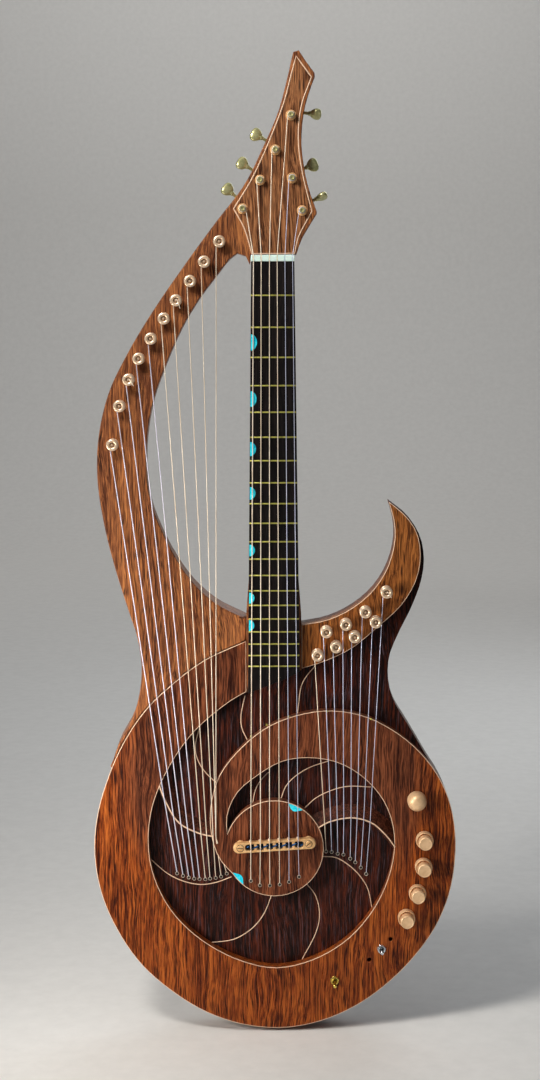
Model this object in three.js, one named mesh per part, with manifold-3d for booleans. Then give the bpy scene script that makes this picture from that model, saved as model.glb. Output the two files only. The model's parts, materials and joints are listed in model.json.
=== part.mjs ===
// Electric harp guitar. A six-string neck stands on a round solid body. A harp arm on its left
// carries ten sub-bass strings, a horn on its right carries eight treble strings, and the raised
// plate on the front winds as one spiral from the bridge disc out to the horn.
//
// Millimetres. +X is right as seen from the front, +Z runs up the neck, and the front faces -Y.
// The flat back lies at y = 0, and the origin is on it, straight behind the bridge disc's centre.
// A height is a distance in front of the back, so a height h lies at y = -h.
import * as THREE from 'three';
import { mergeVertices } from 'three/addons/utils/BufferGeometryUtils.js';
import Module from 'manifold-3d';

// ---------- driving dimensions ----------

const GAP = 0.3;                     // clearance between glued or sliding neighbours
const CHORD = 10;                    // length of the facets along a curved outline

const FLOOR = 36;                    // height of the sunk floor, the front of the body core
const PLATE_FRONT = 49;              // height of the raised spiral plate
const ARM_FRONT = 47;                // height of the harp arm and the headstock
const ARM_BACK = 21;                 // back of the thinned arm and horn
const HEAD_BACK = 31;                // back of the headstock
const HORN_RELIEF = 8;               // the thinned back reaches this far round the horn
const DISC_RADIUS = 54;              // bridge disc, where the spiral begins

const SCALE_LENGTH = 628.65;         // 24.75 inches
const SADDLE_Z = 7.4;
const NUT_Z = SADDLE_Z + SCALE_LENGTH;
const NUT_SIZE = [45.6, 6.8];        // across and along the neck
const NUT_FRONT = 61.4;
const LAST_FRET = 20;
const FINGERBOARD = { back: 54.3, front: 60, nutWidth: 45.3, lastWidth: 55.5 };
const NECK = { back: 39.5, front: 54, heelBack: 20, heelHalf: 29.5, endZ: 643.2 };
const HEAD_START = 643.5;            // lower end of the headstock, just above the nut

const PEG_HOLE = 5;                  // radii from here on
const PEG_SHAFT = 4.4;
const TUNER_HOLE = 4.8;
const KNOB_HOLE = 4.5;
const TOGGLE_HOLE = 3.5;
const SPARE_HOLE = 2.6;

const CONTROL_RADIUS = 164.5;        // every control stands on this arc about the bridge disc
const DOME_ANGLE = 19.2;             // degrees from +X
const STACK_ANGLES = [3.5, -7, -17.7, -28.3];
const SPARE_ANGLES = [-39, -50.6];
const SILVER_ANGLE = -44.3;
const GOLD_ANGLE = -66.3;
const GOLD_LEAN = 13;                // degrees that the gold toggle's lever leans down at rest
const CAVITY = { inner: 148, outer: 181, from: -72, to: 26, ceiling: 30 };
const COVER = { inner: 144, outer: 185, from: -75, to: 29, thickness: 3 };
const JACK = { z: -5, height: 18, radius: 5, flange: 9, inside: 172, face: 198.2 };

// Centres of the ten sub-bass pegs up the arm and the eight treble pegs up the horn, in x and z.
const ARM_PEGS = [[-171, 444], [-163, 485], [-153, 513], [-142, 535], [-129, 556],
  [-115, 577], [-102, 596], [-87, 616], [-72, 636], [-56, 657]];
const HORN_PEGS = [[47, 216.5], [56.5, 242], [67, 225.5], [77.5, 250], [87, 236.5],
  [98.5, 263.5], [109.5, 252.5], [121, 285]];

// Posts of the six headstock tuners, the lie of each button shaft in degrees from +X, the side of
// the post that the shaft runs on, and the turn of the button about its shaft at rest.
const TUNERS = [
  { name: 'low_e', post: [-31.5, 691], lie: 140, side: -1, turn: 15 },
  { name: 'a', post: [-13, 720.5], lie: 148, side: -1, turn: 20 },
  { name: 'd', post: [3, 751.5], lie: 152, side: -1, turn: 10 },
  { name: 'g', post: [19.5, 787], lie: -6, side: 1, turn: 50 },
  { name: 'b', post: [20.5, 722.5], lie: 21, side: 1, turn: 0 },
  { name: 'high_e', post: [31, 689], lie: 23, side: 1, turn: 70 },
];

// ---------- outlines, as smooth curves through a few x, z points ----------

// Outer edge of the spiral strip: round the bridge disc, over the top, down the right side,
// round the bottom and up the left side to the neck.
const STRIP_OUTER = [[-46, -28.5], [-60, -12], [-68.5, 12], [-70, 45], [-60, 81.5], [-38, 111],
  [-8, 135.5], [25, 149], [60, 154], [96, 148.5], [128.5, 132.6], [155.5, 111], [177, 84],
  [191, 54], [197.8, 20], [198, -15], [192, -52], [178, -88], [156, -121], [127, -152],
  [91, -179], [50, -197.5], [8, -205], [-35, -201], [-76, -186.5], [-113, -163], [-147, -132],
  [-173, -93], [-190.5, -50], [-197.3, -5], [-194, 36], [-183, 75.5], [-165, 117], [-141, 153.5],
  [-111, 183], [-76, 209.5], [-30, 231]];

// Inner edge of the strip, from the bridge disc round the sunk floor to the neck.
const STRIP_INNER = [[-51.5, 16.2], [-51.5, 37], [-41, 62], [-17, 83], [10, 98], [40, 101.5],
  [72, 95], [101, 76], [122, 48], [131.3, 12], [126.5, -28], [110, -67], [81, -102.5],
  [42, -126.5], [0, -135.5], [-43, -125], [-83, -101.5], [-113, -70.5], [-132, -32], [-138, 6],
  [-133, 48], [-115, 91], [-87, 131], [-48, 164.5], [-30, 175]];

const HORN_UPPER = [[30, 248.5], [58, 254], [85, 267], [107, 286], [122.5, 311], [130, 340],
  [129, 361], [123.5, 381.5]];
const HORN_LOWER = [[123.5, 381.5], [140, 368], [153, 350], [158, 324], [153, 296], [137, 269],
  [113, 246.5], [84, 222.5], [54, 208], [30, 200.5]];

// Waist of the body core on the right, from the strip's outer edge up to the horn's tip.
const WAIST = [[168, 98], [148, 132.5], [131, 161.5], [124.5, 186], [125.5, 211], [135, 236],
  [150, 267], [160, 296], [162.5, 320], [158, 343], [144, 365.5], [123.8, 382]];

// The end of the neck and fingerboard, cut along the spiral.
const NECK_END = [[-30, 175.3], [-10, 182.5], [10, 190.5], [30, 200]];

const ARM_OUTER = [[-178, 91], [-170, 115.5], [-156, 141], [-147, 168], [-143.3, 199.7],
  [-147, 232], [-158, 268], [-170.5, 310], [-181, 354], [-188, 404], [-186.5, 450], [-175, 498],
  [-154.4, 540], [-128, 583], [-95, 630], [-59.4, 677.6], [-29.4, 716], [-9, 756], [6, 790],
  [16, 826], [22.5, 852.5], [25, 856], [28, 853]];
const HEAD_RIGHT_TOP = [[28, 853], [36, 841], [44.3, 830]];
const HEAD_RIGHT = [[44.5, 826], [38, 809], [32.6, 787], [30.6, 760], [32.5, 738], [37.5, 714],
  [46.5, 688]];
const HEAD_SHOULDER = [[46.5, 685.5], [38, 672], [30.5, 659], [25, HEAD_START]];
const ARM_INNER = [[-24.2, 633], [-27.5, 641], [-35, 645.3], [-44, 640], [-59.4, 621], [-75, 601],
  [-95, 569], [-116, 522.3], [-129, 484], [-135.7, 434], [-132, 386], [-116, 343], [-92, 301],
  [-64, 273], [-30.1, 254.7]];

// The arm's tongue, let into the body core under the plate.
const TONGUE = [[-143, 157], [-131, 118], [-62, 178], [-34, 192], [-34, 242]];
const TONGUE_BACK = 12;

// Crests of the two saddle ridges that carry the harp strings, and their section.
const BASS_CREST = [[-126.5, 75], [-119, 54.5], [-104.5, 30], [-83, 18], [-64, 13.5]];
const TREBLE_CREST = [[45, 21.5], [60, 30], [85.5, 34.5], [106, 29], [121, 16], [134, -1]];
const RIDGE = { height: 50, steep: 4.5, gentle: 12, crown: 1 };

// ---------- small tools ----------

const wasm = await Module();
wasm.setup();

const radians = THREE.MathUtils.degToRad;

function curve(points) {
  const path = new THREE.CatmullRomCurve3(points.map(([x, z]) => new THREE.Vector3(x, 0, z)));
  const steps = Math.max(2, Math.round(path.getLength() / CHORD));
  return path.getSpacedPoints(steps).map((p) => [p.x, p.z]);
}

function arc(radius, fromAngle, toAngle, steps) {
  const turn = (i) => radians(fromAngle + ((toAngle - fromAngle) * i) / steps);
  return Array.from({ length: steps + 1 },
    (_, i) => [radius * Math.cos(turn(i)), radius * Math.sin(turn(i))]);
}

const onControlArc = (angle) => arc(CONTROL_RADIUS, angle, angle, 1)[0];

// An outline moved outwards by a margin, for a pocket or a clearance. It is drawn anticlockwise.
function grown(points, margin) {
  const loop = points.filter(([x, z], i) => {
    const [nextX, nextZ] = points[(i + 1) % points.length];
    return Math.hypot(nextX - x, nextZ - z) > 1e-6;
  });
  const corners = loop.map(([x, z]) => new THREE.Vector2(x, z));
  const sign = THREE.ShapeUtils.isClockWise(corners) ? -1 : 1;
  return corners.map((corner, i) => {
    const before = corner.clone().sub(corners.at(i - 1)).normalize();
    const after = corners[(i + 1) % corners.length].clone().sub(corner).normalize();
    const normal = new THREE.Vector2(before.y + after.y, -before.x - after.x).normalize();
    const mitre = Math.max(0.4, normal.dot(new THREE.Vector2(before.y, -before.x)));
    return [corner.x + (sign * margin * normal.x) / mitre, corner.y + (sign * margin * normal.y) / mitre];
  });
}

function outline(points, holes = []) {
  const shape = new THREE.Shape(points.map(([x, z]) => new THREE.Vector2(x, z)));
  for (const { at: [x, z], radius } of holes) {
    shape.holes.push(new THREE.Path().absarc(x, z, radius, 0, 2 * Math.PI));
  }
  return shape;
}

// A flat board with a front-view outline, between two heights.
function board(shape, back, front) {
  const solid = new THREE.ExtrudeGeometry(shape,
    { depth: front - back, bevelEnabled: false, curveSegments: 4 });
  return solid.rotateX(Math.PI / 2).translate(0, -back, 0);
}

// A board with a side-view outline of height and z points, between two x values.
function sideBoard(points, left, right) {
  const shape = new THREE.Shape(points.map(([height, z]) => new THREE.Vector2(-height, z)));
  const solid = new THREE.ExtrudeGeometry(shape, { depth: right - left, bevelEnabled: false });
  const turned = new THREE.Matrix4().makeBasis(
    new THREE.Vector3(0, 1, 0), new THREE.Vector3(0, 0, 1), new THREE.Vector3(1, 0, 0));
  return solid.applyMatrix4(turned).translate(left, 0, 0);
}

// A turned piece about the y axis. Its profile of radius and height runs from back to front.
function turned(profile, segments = 12) {
  const points = profile.map(([radius, height]) => new THREE.Vector2(radius, -height));
  return new THREE.LatheGeometry(points.reverse(), segments);
}

function pin(radius, back, front, [x, z] = [0, 0], segments = 16) {
  return new THREE.CylinderGeometry(radius, radius, front - back, segments)
    .translate(x, -(back + front) / 2, z);
}

function toManifold(geometry) {
  const bare = geometry.clone();
  bare.deleteAttribute('normal');
  bare.deleteAttribute('uv');
  const { index, attributes } = mergeVertices(bare, 1e-4);
  const corners = [];
  for (let i = 0; i < index.count; i += 3) {
    const triangle = [index.getX(i), index.getX(i + 1), index.getX(i + 2)];
    if (new Set(triangle).size === 3) corners.push(...triangle);
  }
  return new wasm.Manifold(new wasm.Mesh({
    numProp: 3,
    vertProperties: Float32Array.from(attributes.position.array),
    triVerts: Uint32Array.from(corners),
  }));
}

function toGeometry(solid) {
  const { vertProperties, triVerts } = solid.getMesh();
  const geometry = new THREE.BufferGeometry();
  geometry.setAttribute('position', new THREE.BufferAttribute(vertProperties, 3));
  geometry.setIndex(new THREE.BufferAttribute(triVerts, 1));
  return geometry;
}

const join = (first, ...others) => toGeometry(
  others.reduce((whole, piece) => whole.add(toManifold(piece)), toManifold(first)));
const cut = (blank, ...tools) => toGeometry(
  tools.reduce((rest, tool) => rest.subtract(toManifold(tool)), toManifold(blank)));
const common = (first, second) => toGeometry(toManifold(first).intersect(toManifold(second)));

const finish = (color, roughness, metalness = 0) =>
  new THREE.MeshStandardMaterial({ color, roughness, metalness });

const MATERIALS = {
  rosewood: finish('#8d4b27', 0.38),
  armWood: finish('#6b4030', 0.4),
  floorWood: finish('#38201a', 0.45),
  ebony: finish('#1b1718', 0.5),
  gold: finish('#d7b484', 0.32, 0.9),
  agedGold: finish('#a5ab7b', 0.35, 0.9),
  chrome: finish('#c9ccd0', 0.2, 1),
  knob: finish('#dbb489', 0.4, 0.6),
  bone: finish('#dbf5e8', 0.45),
  plastic: finish('#17181a', 0.5),
  circuit: finish('#1f5a3a', 0.6),
};

const harpGuitar = new THREE.Group();

function add(name, geometry, material, [x, y, z] = [0, 0, 0], turn = 0) {
  const mesh = new THREE.Mesh(geometry, material);
  mesh.name = name;
  mesh.position.set(x, y, z);
  mesh.rotation.y = turn;
  harpGuitar.add(mesh);
}

// ---------- body ----------

const stripOuter = curve(STRIP_OUTER);
const stripInner = curve(STRIP_INNER);
const hornOutline = [...curve(HORN_UPPER), ...curve(HORN_LOWER).slice(1)];

// The disc's rim, clockwise from the start of the strip's inner edge to that of its outer edge.
const discRim = arc(DISC_RADIUS, 162.5, -148.2, 42).slice(1, -1);

const controlHoles = [
  ...[DOME_ANGLE, ...STACK_ANGLES].map((angle) => ({ at: onControlArc(angle), radius: KNOB_HOLE })),
  ...[SILVER_ANGLE, GOLD_ANGLE].map((angle) => ({ at: onControlArc(angle), radius: TOGGLE_HOLE })),
  ...SPARE_ANGLES.map((angle) => ({ at: onControlArc(angle), radius: SPARE_HOLE })),
];
const hornPegHoles = HORN_PEGS.map((at) => ({ at, radius: PEG_HOLE }));

const stripOutline = [...stripOuter, ...stripInner.slice().reverse(), ...discRim];

function spiralTop() {
  return board(outline(stripOutline, controlHoles), FLOOR + GAP, PLATE_FRONT);
}

function hornTop() {
  return board(outline(hornOutline, hornPegHoles), FLOOR + GAP, PLATE_FRONT);
}

// The body's outer edge, from the foot of the waist round the bottom to the neck.
const waistFoot = stripOuter.findIndex(([x, z]) => x > 168 && z < 98);
const bodyEdge = stripOuter.slice(waistFoot);

function ringSector({ inner, outer, from, to }, margin = 0) {
  const steps = 14;
  const slack = THREE.MathUtils.radToDeg(margin / outer);
  return [...arc(outer + margin, from - slack, to + slack, steps),
    ...arc(inner - margin, to + slack, from - slack, steps)];
}

function jackHole(radius, from, to) {
  return new THREE.CylinderGeometry(radius, radius, to - from, 16).rotateZ(Math.PI / 2)
    .translate((from + to) / 2, -JACK.height, JACK.z);
}

function neckPocket() {
  const half = NECK.heelHalf + GAP;
  const end = curve(NECK_END).map(([x, z]) => [Math.max(-half, Math.min(half, x)), z - GAP]);
  return board(outline([...end, [half, 300], [-half, 300]]), NECK.heelBack - GAP, FLOOR + 1);
}

function bodyCore() {
  const edge = [...bodyEdge, ...curve(HORN_UPPER), ...curve(WAIST).reverse()];
  return cut(
    board(outline(edge, hornPegHoles), 0, FLOOR),
    board(outline(grown(hornOutline, HORN_RELIEF)), -1, ARM_BACK),
    neckPocket(),
    board(outline(grown(TONGUE, GAP)), TONGUE_BACK - GAP, FLOOR + 1),
    board(outline(ringSector(CAVITY)), -1, CAVITY.ceiling),
    board(outline(ringSector(COVER, GAP)), -1, COVER.thickness + GAP),
    ...controlHoles.map(({ at, radius }) => pin(radius, CAVITY.ceiling - 1, FLOOR + 1, at)),
    jackHole(JACK.radius + GAP, JACK.inside, JACK.face + 4),
    jackHole(JACK.flange + GAP, JACK.face - 1.8, JACK.face + 4),
  );
}

function ridge(crest) {
  const path = new THREE.CatmullRomCurve3(crest.map(([x, z]) => new THREE.Vector3(x, -FLOOR, z)));
  const foot = GAP;
  const top = RIDGE.height - FLOOR;
  const section = new THREE.Shape([[foot, -RIDGE.gentle], [top - RIDGE.crown, -RIDGE.crown],
    [top, 0], [top - RIDGE.crown, RIDGE.crown], [foot, RIDGE.steep]]
    .map(([height, across]) => new THREE.Vector2(height, across)));
  const steps = Math.round(path.getLength() / CHORD);
  const bar = new THREE.ExtrudeGeometry(section, { steps, bevelEnabled: false, extrudePath: path });
  return cut(bar, board(outline(grown(stripOutline, 0.4)), FLOOR - 5, PLATE_FRONT + 20));
}

// ---------- neck, arm and headstock ----------

const fretZ = (n) => SADDLE_Z + SCALE_LENGTH * 2 ** (-n / 12);

function fingerboardHalf(z) {
  const { nutWidth, lastWidth } = FINGERBOARD;
  const taper = (lastWidth - nutWidth) / (NUT_Z - fretZ(LAST_FRET));
  return (nutWidth + taper * (NUT_Z - z)) / 2;
}

function fingerboard() {
  const end = curve(NECK_END).map(([x, z]) =>
    [Math.max(-fingerboardHalf(z), Math.min(fingerboardHalf(z), x)), z]);
  const top = NUT_Z - GAP;
  const face = outline([...end, [fingerboardHalf(top), top], [-fingerboardHalf(top), top]]);
  return board(face, FINGERBOARD.back, FINGERBOARD.front);
}

function neck() {
  const { back, front, heelBack, heelHalf, endZ } = NECK;
  const end = curve(NECK_END).map(([x, z]) => [Math.max(-heelHalf, Math.min(heelHalf, x)), z]);
  const shoulder = 262;
  const heelTop = 300;
  const tip = fingerboardHalf(NUT_Z);
  const wide = fingerboardHalf(heelTop);
  const face = outline([...end, [heelHalf, shoulder], [wide, heelTop], [tip, NUT_Z + 3],
    [tip, endZ], [-tip, endZ], [-tip, NUT_Z + 3], [-wide, heelTop], [-heelHalf, shoulder]]);
  const heel = [[front, 150], [heelBack, 150], [heelBack, 256], [24, 268], [32, 283], [37.5, 296],
    [back + 0.5, 310], [front, 310]];
  const round = new THREE.Shape();
  round.moveTo(-heelHalf - 1, -front);
  round.bezierCurveTo(-heelHalf, -back + 1, -16, -back, 0, -back);
  round.bezierCurveTo(16, -back, heelHalf, -back + 1, heelHalf + 1, -front);
  const shaftStart = heelTop - 5;
  const shaft = new THREE.ExtrudeGeometry(round,
    { depth: endZ - shaftStart, bevelEnabled: false, curveSegments: 7 }).translate(0, 0, shaftStart);
  const headEnd = board(outline([[-tip, 600], [tip, 600], [tip, endZ], [-tip, endZ]]), back, front);
  const blank = join(sideBoard(heel, -heelHalf - 1, heelHalf + 1), shaft, headEnd);
  return common(blank, board(face, heelBack - 1, front));
}

function harpArm() {
  const edge = grown([...bodyEdge, ...curve(WAIST)], GAP);
  const footStart = edge.findIndex(([x, z]) => x < -100 && z > 91);
  const footEnd = edge.findIndex(([x, z]) => x > -100 && x < 0 && z > 228);
  const foot = edge.slice(footStart, footEnd + 1).filter(([x]) => x < -30.2);
  const half = fingerboardHalf(NUT_Z) + 0.4;
  const face = [...curve(ARM_OUTER), ...curve(HEAD_RIGHT_TOP), ...curve(HEAD_RIGHT),
    ...curve(HEAD_SHOULDER), [-half, HEAD_START], ...curve(ARM_INNER), [-30.1, 231.6],
    ...foot.slice().reverse()];
  const holes = [...ARM_PEGS.map((at) => ({ at, radius: PEG_HOLE })),
    ...TUNERS.map(({ post }) => ({ at: post, radius: TUNER_HOLE }))];
  const profile = [[0, 60], [0, 200], [4, 240], [ARM_BACK, 330], [ARM_BACK, 666], [HEAD_BACK, 678],
    [HEAD_BACK, 870], [ARM_FRONT, 870], [ARM_FRONT, 60]];
  const lap = [[39.2, 604], [39.2, HEAD_START + 1], [HEAD_BACK, HEAD_START + 1], [HEAD_BACK, 640],
    [36, 610]];
  return join(
    common(board(outline(face, holes), 0, ARM_FRONT), sideBoard(profile, -200, 60)),
    board(outline(TONGUE), TONGUE_BACK, FLOOR - GAP),
    sideBoard(lap, -21, 21),
  );
}

function nut() {
  const [across, along] = NUT_SIZE;
  return new THREE.BoxGeometry(across, NUT_FRONT - FINGERBOARD.back, along)
    .translate(0, -(NUT_FRONT + FINGERBOARD.back) / 2, NUT_Z + along / 2);
}

// ---------- bridge, controls and fittings ----------

function stadium(length, width) {
  const half = (length - width) / 2;
  const path = new THREE.Shape();
  path.absarc(half, 0, width / 2, -Math.PI / 2, Math.PI / 2);
  path.absarc(-half, 0, width / 2, Math.PI / 2, (3 * Math.PI) / 2);
  return path;
}

const BRIDGE = { length: 90, width: 12, back: 56, front: 62, studs: 37.3, studRadius: 4.5, tilt: 3.6 };

function bridge() {
  const { length, width, back, front, studs, studRadius } = BRIDGE;
  const bar = stadium(length, width);
  bar.holes.push(stadium(64, 6.6));
  const stud = (x) => pin(studRadius, PLATE_FRONT + GAP, back + 1, [x, 0]);
  return join(board(bar, back, front), stud(-studs), stud(studs));
}

// A straight-through peg: a post with a round head in front, which keeps the string on it, and a
// flat oval button behind. Height 0 is the face of the wood.
const PEG = { shaftEnd: -33, postRadius: 2.8, head: 8.4, headRadius: 6.5, top: 12.2,
  button: { back: -38, front: -31, wide: 8.5, tall: 5.5 } };

function peg() {
  const { shaftEnd, postRadius, head, headRadius, top, button } = PEG;
  const spindle = turned([[0, shaftEnd], [PEG_SHAFT, shaftEnd], [PEG_SHAFT, 1], [postRadius, 1.4],
    [postRadius, head], [headRadius, head + 1.6], [headRadius - 1, top], [0, top]], 10);
  const oval = new THREE.Shape().absellipse(0, 0, button.wide, button.tall, 0, 2 * Math.PI);
  return join(spindle, board(oval, button.back, button.front));
}

// Tuner pieces lie about their post with the button shaft along +X, at height 0 on the back of
// the headstock. The shaft runs beside the post, on the side given by its sign.
const TUNER = { reach: 26.5, shaftOffset: 6, depth: 10, shaftHeight: -5.5 };

function tunerHousing(side) {
  const offset = side * TUNER.shaftOffset;
  const low = Math.min(-6.5, offset - 4);
  const high = Math.max(6.5, offset + 4);
  const box = outline([[-7, low + 2], [-5, low], [5, low], [7, low + 2], [7, high - 2], [5, high],
    [-5, high], [-7, high - 2]], [{ at: [0, 0], radius: 4.6 }]);
  return board(box, -TUNER.depth - GAP, -GAP);
}

function tunerPost() {
  return turned([[0, -9.5], [4.1, -9.5], [4.1, -4], [3, -3.6], [3, 17], [2.5, 26], [0, 26]], 10);
}

function tunerButton(side, turn) {
  const shaft = turned([[0, 0], [1.8, 0], [1.8, 15], [0, 15]], 8)
    .rotateZ(Math.PI / 2).translate(7 + GAP, 0, 0);
  const wing = new THREE.Shape();
  wing.moveTo(-1.5, -3);
  wing.bezierCurveTo(1, -7.5, 8, -9.5, 9.5, -5);
  wing.bezierCurveTo(10.6, -1.6, 10.6, 1.6, 9.5, 5);
  wing.bezierCurveTo(8, 9.5, 1, 7.5, -1.5, 3);
  const head = new THREE.ExtrudeGeometry(wing, { depth: 3.4, curveSegments: 3, bevelSegments: 1,
    bevelSize: -0.9, bevelThickness: 0.9 }).rotateX(Math.PI / 2).translate(TUNER.reach - 5, 1.7, 0);
  return join(shaft, head).rotateX(radians(turn))
    .translate(0, -TUNER.shaftHeight, side * TUNER.shaftOffset);
}

// Concentric controls from the back of the plate's face: an outer ring on a sleeve, and an inner
// knob whose shaft turns inside it. Height 0 is the plate's front.
const POT_TOP = 28;

function outerRing() {
  const sleeve = POT_TOP + 0.4 - PLATE_FRONT;
  return turned([[2.2, sleeve], [3.6, sleeve], [3.6, 0.5], [9.5, 0.5], [9.5, 8.6],
    [2.2, 8.6], [2.2, sleeve]], 16);
}

function innerKnob() {
  const shaft = POT_TOP + 0.4 - PLATE_FRONT;
  return turned([[0, shaft], [1.8, shaft], [1.8, 9], [7.5, 9], [7.5, 19.6], [0, 19.6]], 16);
}

function domeKnob() {
  const shaft = POT_TOP + 0.4 - PLATE_FRONT;
  return turned([[0, shaft], [3, shaft], [3, 0.5], [10.3, 0.5], [10.3, 8], [9.4, 12.5],
    [6, 16], [0, 17.2]], 16);
}

// The circuit board with the potentiometer and switch bodies on it.
function preampBoard() {
  const sector = { inner: 152, outer: 177, from: -70, to: 24 };
  const pots = [DOME_ANGLE, ...STACK_ANGLES].map((angle) => pin(8, 11, POT_TOP, onControlArc(angle)));
  const switches = [SILVER_ANGLE, GOLD_ANGLE].map((angle) => pin(6.5, 11, POT_TOP, onControlArc(angle), 6));
  return join(board(outline(ringSector(sector)), 10, 11.6), ...pots, ...switches);
}

// A toggle lever about its pivot, a little in front of the plate.
const TOGGLE_PIVOT = 2.8;
function toggleLever() {
  return turned([[0, -2], [1.5, -1.6], [1.5, 2], [1.1, 4], [1.9, 9.4], [0, 11]], 10);
}

function outputJack() {
  const { radius, flange, inside, face } = JACK;
  const bore = 3.3;
  return turned([[0, inside], [radius, inside], [radius, face - 1.5], [flange, face - 1.5],
    [flange - 0.5, face], [bore, face], [bore, inside + 3], [0, inside + 3]], 16)
    .rotateZ(Math.PI / 2).translate(0, -JACK.height, JACK.z);
}

// ---------- the assembly ----------

add('body_core', bodyCore(), MATERIALS.floorWood);
add('spiral_top', spiralTop(), MATERIALS.rosewood);
add('horn_top', hornTop(), MATERIALS.rosewood);
add('harp_arm', harpArm(), MATERIALS.armWood);
add('neck', neck(), MATERIALS.armWood);
add('fingerboard', fingerboard(), MATERIALS.ebony);
add('nut', nut(), MATERIALS.bone);
add('bridge', bridge(), MATERIALS.gold, [0, 0, 6.6], -radians(BRIDGE.tilt));
add('bass_saddle_ridge', ridge(BASS_CREST), MATERIALS.rosewood);
add('treble_saddle_ridge', ridge(TREBLE_CREST), MATERIALS.rosewood);
add('control_cover', board(outline(ringSector(COVER)), 0, COVER.thickness), MATERIALS.plastic);
add('preamp_board', preampBoard(), MATERIALS.circuit);
add('output_jack', outputJack(), MATERIALS.chrome);

const pegGeometry = peg();
ARM_PEGS.forEach(([x, z], i) =>
  add(`bass_peg_${i + 1}`, pegGeometry, MATERIALS.gold, [x, -ARM_FRONT, z]));
HORN_PEGS.forEach(([x, z], i) =>
  add(`treble_peg_${i + 1}`, pegGeometry, MATERIALS.gold, [x, -PLATE_FRONT, z]));

for (const { name, post: [x, z], lie, side, turn } of TUNERS) {
  const seat = [x, -HEAD_BACK, z];
  add(`tuner_housing_${name}`, tunerHousing(side), MATERIALS.agedGold, seat, -radians(lie));
  add(`tuner_post_${name}`, tunerPost(), MATERIALS.agedGold, seat);
  add(`tuner_button_${name}`, tunerButton(side, turn), MATERIALS.agedGold, seat, -radians(lie));
}

function addControl(name, geometry, material, angle, height = PLATE_FRONT) {
  const [x, z] = onControlArc(angle);
  add(name, geometry, material, [x, -height, z]);
}

addControl('volume_knob', domeKnob(), MATERIALS.knob, DOME_ANGLE);
STACK_ANGLES.forEach((angle, i) => {
  addControl(`outer_knob_${i + 1}`, outerRing(), MATERIALS.knob, angle);
  addControl(`inner_knob_${i + 1}`, innerKnob(), MATERIALS.knob, angle);
});
addControl('silver_toggle', toggleLever(), MATERIALS.chrome, SILVER_ANGLE, PLATE_FRONT + TOGGLE_PIVOT);
addControl('gold_toggle', toggleLever().rotateX(radians(GOLD_LEAN)), MATERIALS.gold, GOLD_ANGLE,
  PLATE_FRONT + TOGGLE_PIVOT);

export default harpGuitar;
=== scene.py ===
"""Looks for the electric harp guitar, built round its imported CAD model.

Places are in the model's own frame: x to the right, z up the neck, and a height in front of the
flat back, so that the point (x, height, z) lies at y = -height. Sizes are in millimetres here and
become metres in at().
"""
import json
import math

import bmesh
import bpy
from mathutils import Matrix, Vector

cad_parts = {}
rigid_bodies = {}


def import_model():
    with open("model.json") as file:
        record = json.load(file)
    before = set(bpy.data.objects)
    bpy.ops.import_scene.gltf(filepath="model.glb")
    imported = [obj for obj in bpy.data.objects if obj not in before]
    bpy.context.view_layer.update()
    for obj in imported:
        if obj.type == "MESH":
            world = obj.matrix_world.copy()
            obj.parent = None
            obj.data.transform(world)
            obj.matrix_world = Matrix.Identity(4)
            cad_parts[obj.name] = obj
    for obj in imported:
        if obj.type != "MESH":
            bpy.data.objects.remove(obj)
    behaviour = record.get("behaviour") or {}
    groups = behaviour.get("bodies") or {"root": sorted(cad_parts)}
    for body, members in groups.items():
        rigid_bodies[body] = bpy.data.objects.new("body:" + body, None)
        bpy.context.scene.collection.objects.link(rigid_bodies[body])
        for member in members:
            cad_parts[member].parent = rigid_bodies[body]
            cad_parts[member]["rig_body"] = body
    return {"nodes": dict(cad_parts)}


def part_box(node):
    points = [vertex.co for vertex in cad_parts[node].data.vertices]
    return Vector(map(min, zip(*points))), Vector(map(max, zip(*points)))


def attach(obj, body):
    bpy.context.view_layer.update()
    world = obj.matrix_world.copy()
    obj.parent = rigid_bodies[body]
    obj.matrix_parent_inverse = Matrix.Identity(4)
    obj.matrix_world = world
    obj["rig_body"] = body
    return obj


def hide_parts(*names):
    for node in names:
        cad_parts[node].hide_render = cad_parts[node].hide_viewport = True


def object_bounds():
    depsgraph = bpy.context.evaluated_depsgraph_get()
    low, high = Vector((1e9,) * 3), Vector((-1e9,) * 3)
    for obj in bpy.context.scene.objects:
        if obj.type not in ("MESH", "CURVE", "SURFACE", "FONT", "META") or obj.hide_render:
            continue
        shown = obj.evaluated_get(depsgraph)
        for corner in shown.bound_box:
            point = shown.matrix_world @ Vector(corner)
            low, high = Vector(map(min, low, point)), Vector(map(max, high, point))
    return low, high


MM = 0.001

# Heights in front of the back, and the instrument's driving sizes, as in the CAD model.
FLOOR = 36.0
PLATE = 49.0
ARM = 47.0
ARM_BACK = 21.0
HEAD_BACK = 31.0
BOARD = 60.0
DISC_RADIUS = 54.0
SCALE_LENGTH = 628.65
SADDLE_Z = 7.4
NUT_Z = SADDLE_Z + SCALE_LENGTH
LAST_FRET = 20
NUT_WIDTH = 45.3
LAST_WIDTH = 55.5
RIDGE_TOP = 50.0
CREST_BEAD = 1.5
PEG_RADIUS = 2.8
CONTROL_RADIUS = 164.5
DOME_ANGLE = 19.2
STACK_ANGLES = (3.5, -7.0, -17.7, -28.3)
SILVER_ANGLE = -44.3
GOLD_ANGLE = -66.3
GOLD_LEAN = 13.0
TOGGLE_PIVOT = 2.8

ARM_PEGS = [(-171, 444), (-163, 485), (-153, 513), (-142, 535), (-129, 556),
            (-115, 577), (-102, 596), (-87, 616), (-72, 636), (-56, 657)]
HORN_PEGS = [(47, 216.5), (56.5, 242), (67, 225.5), (77.5, 250), (87, 236.5),
             (98.5, 263.5), (109.5, 252.5), (121, 285)]
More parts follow.
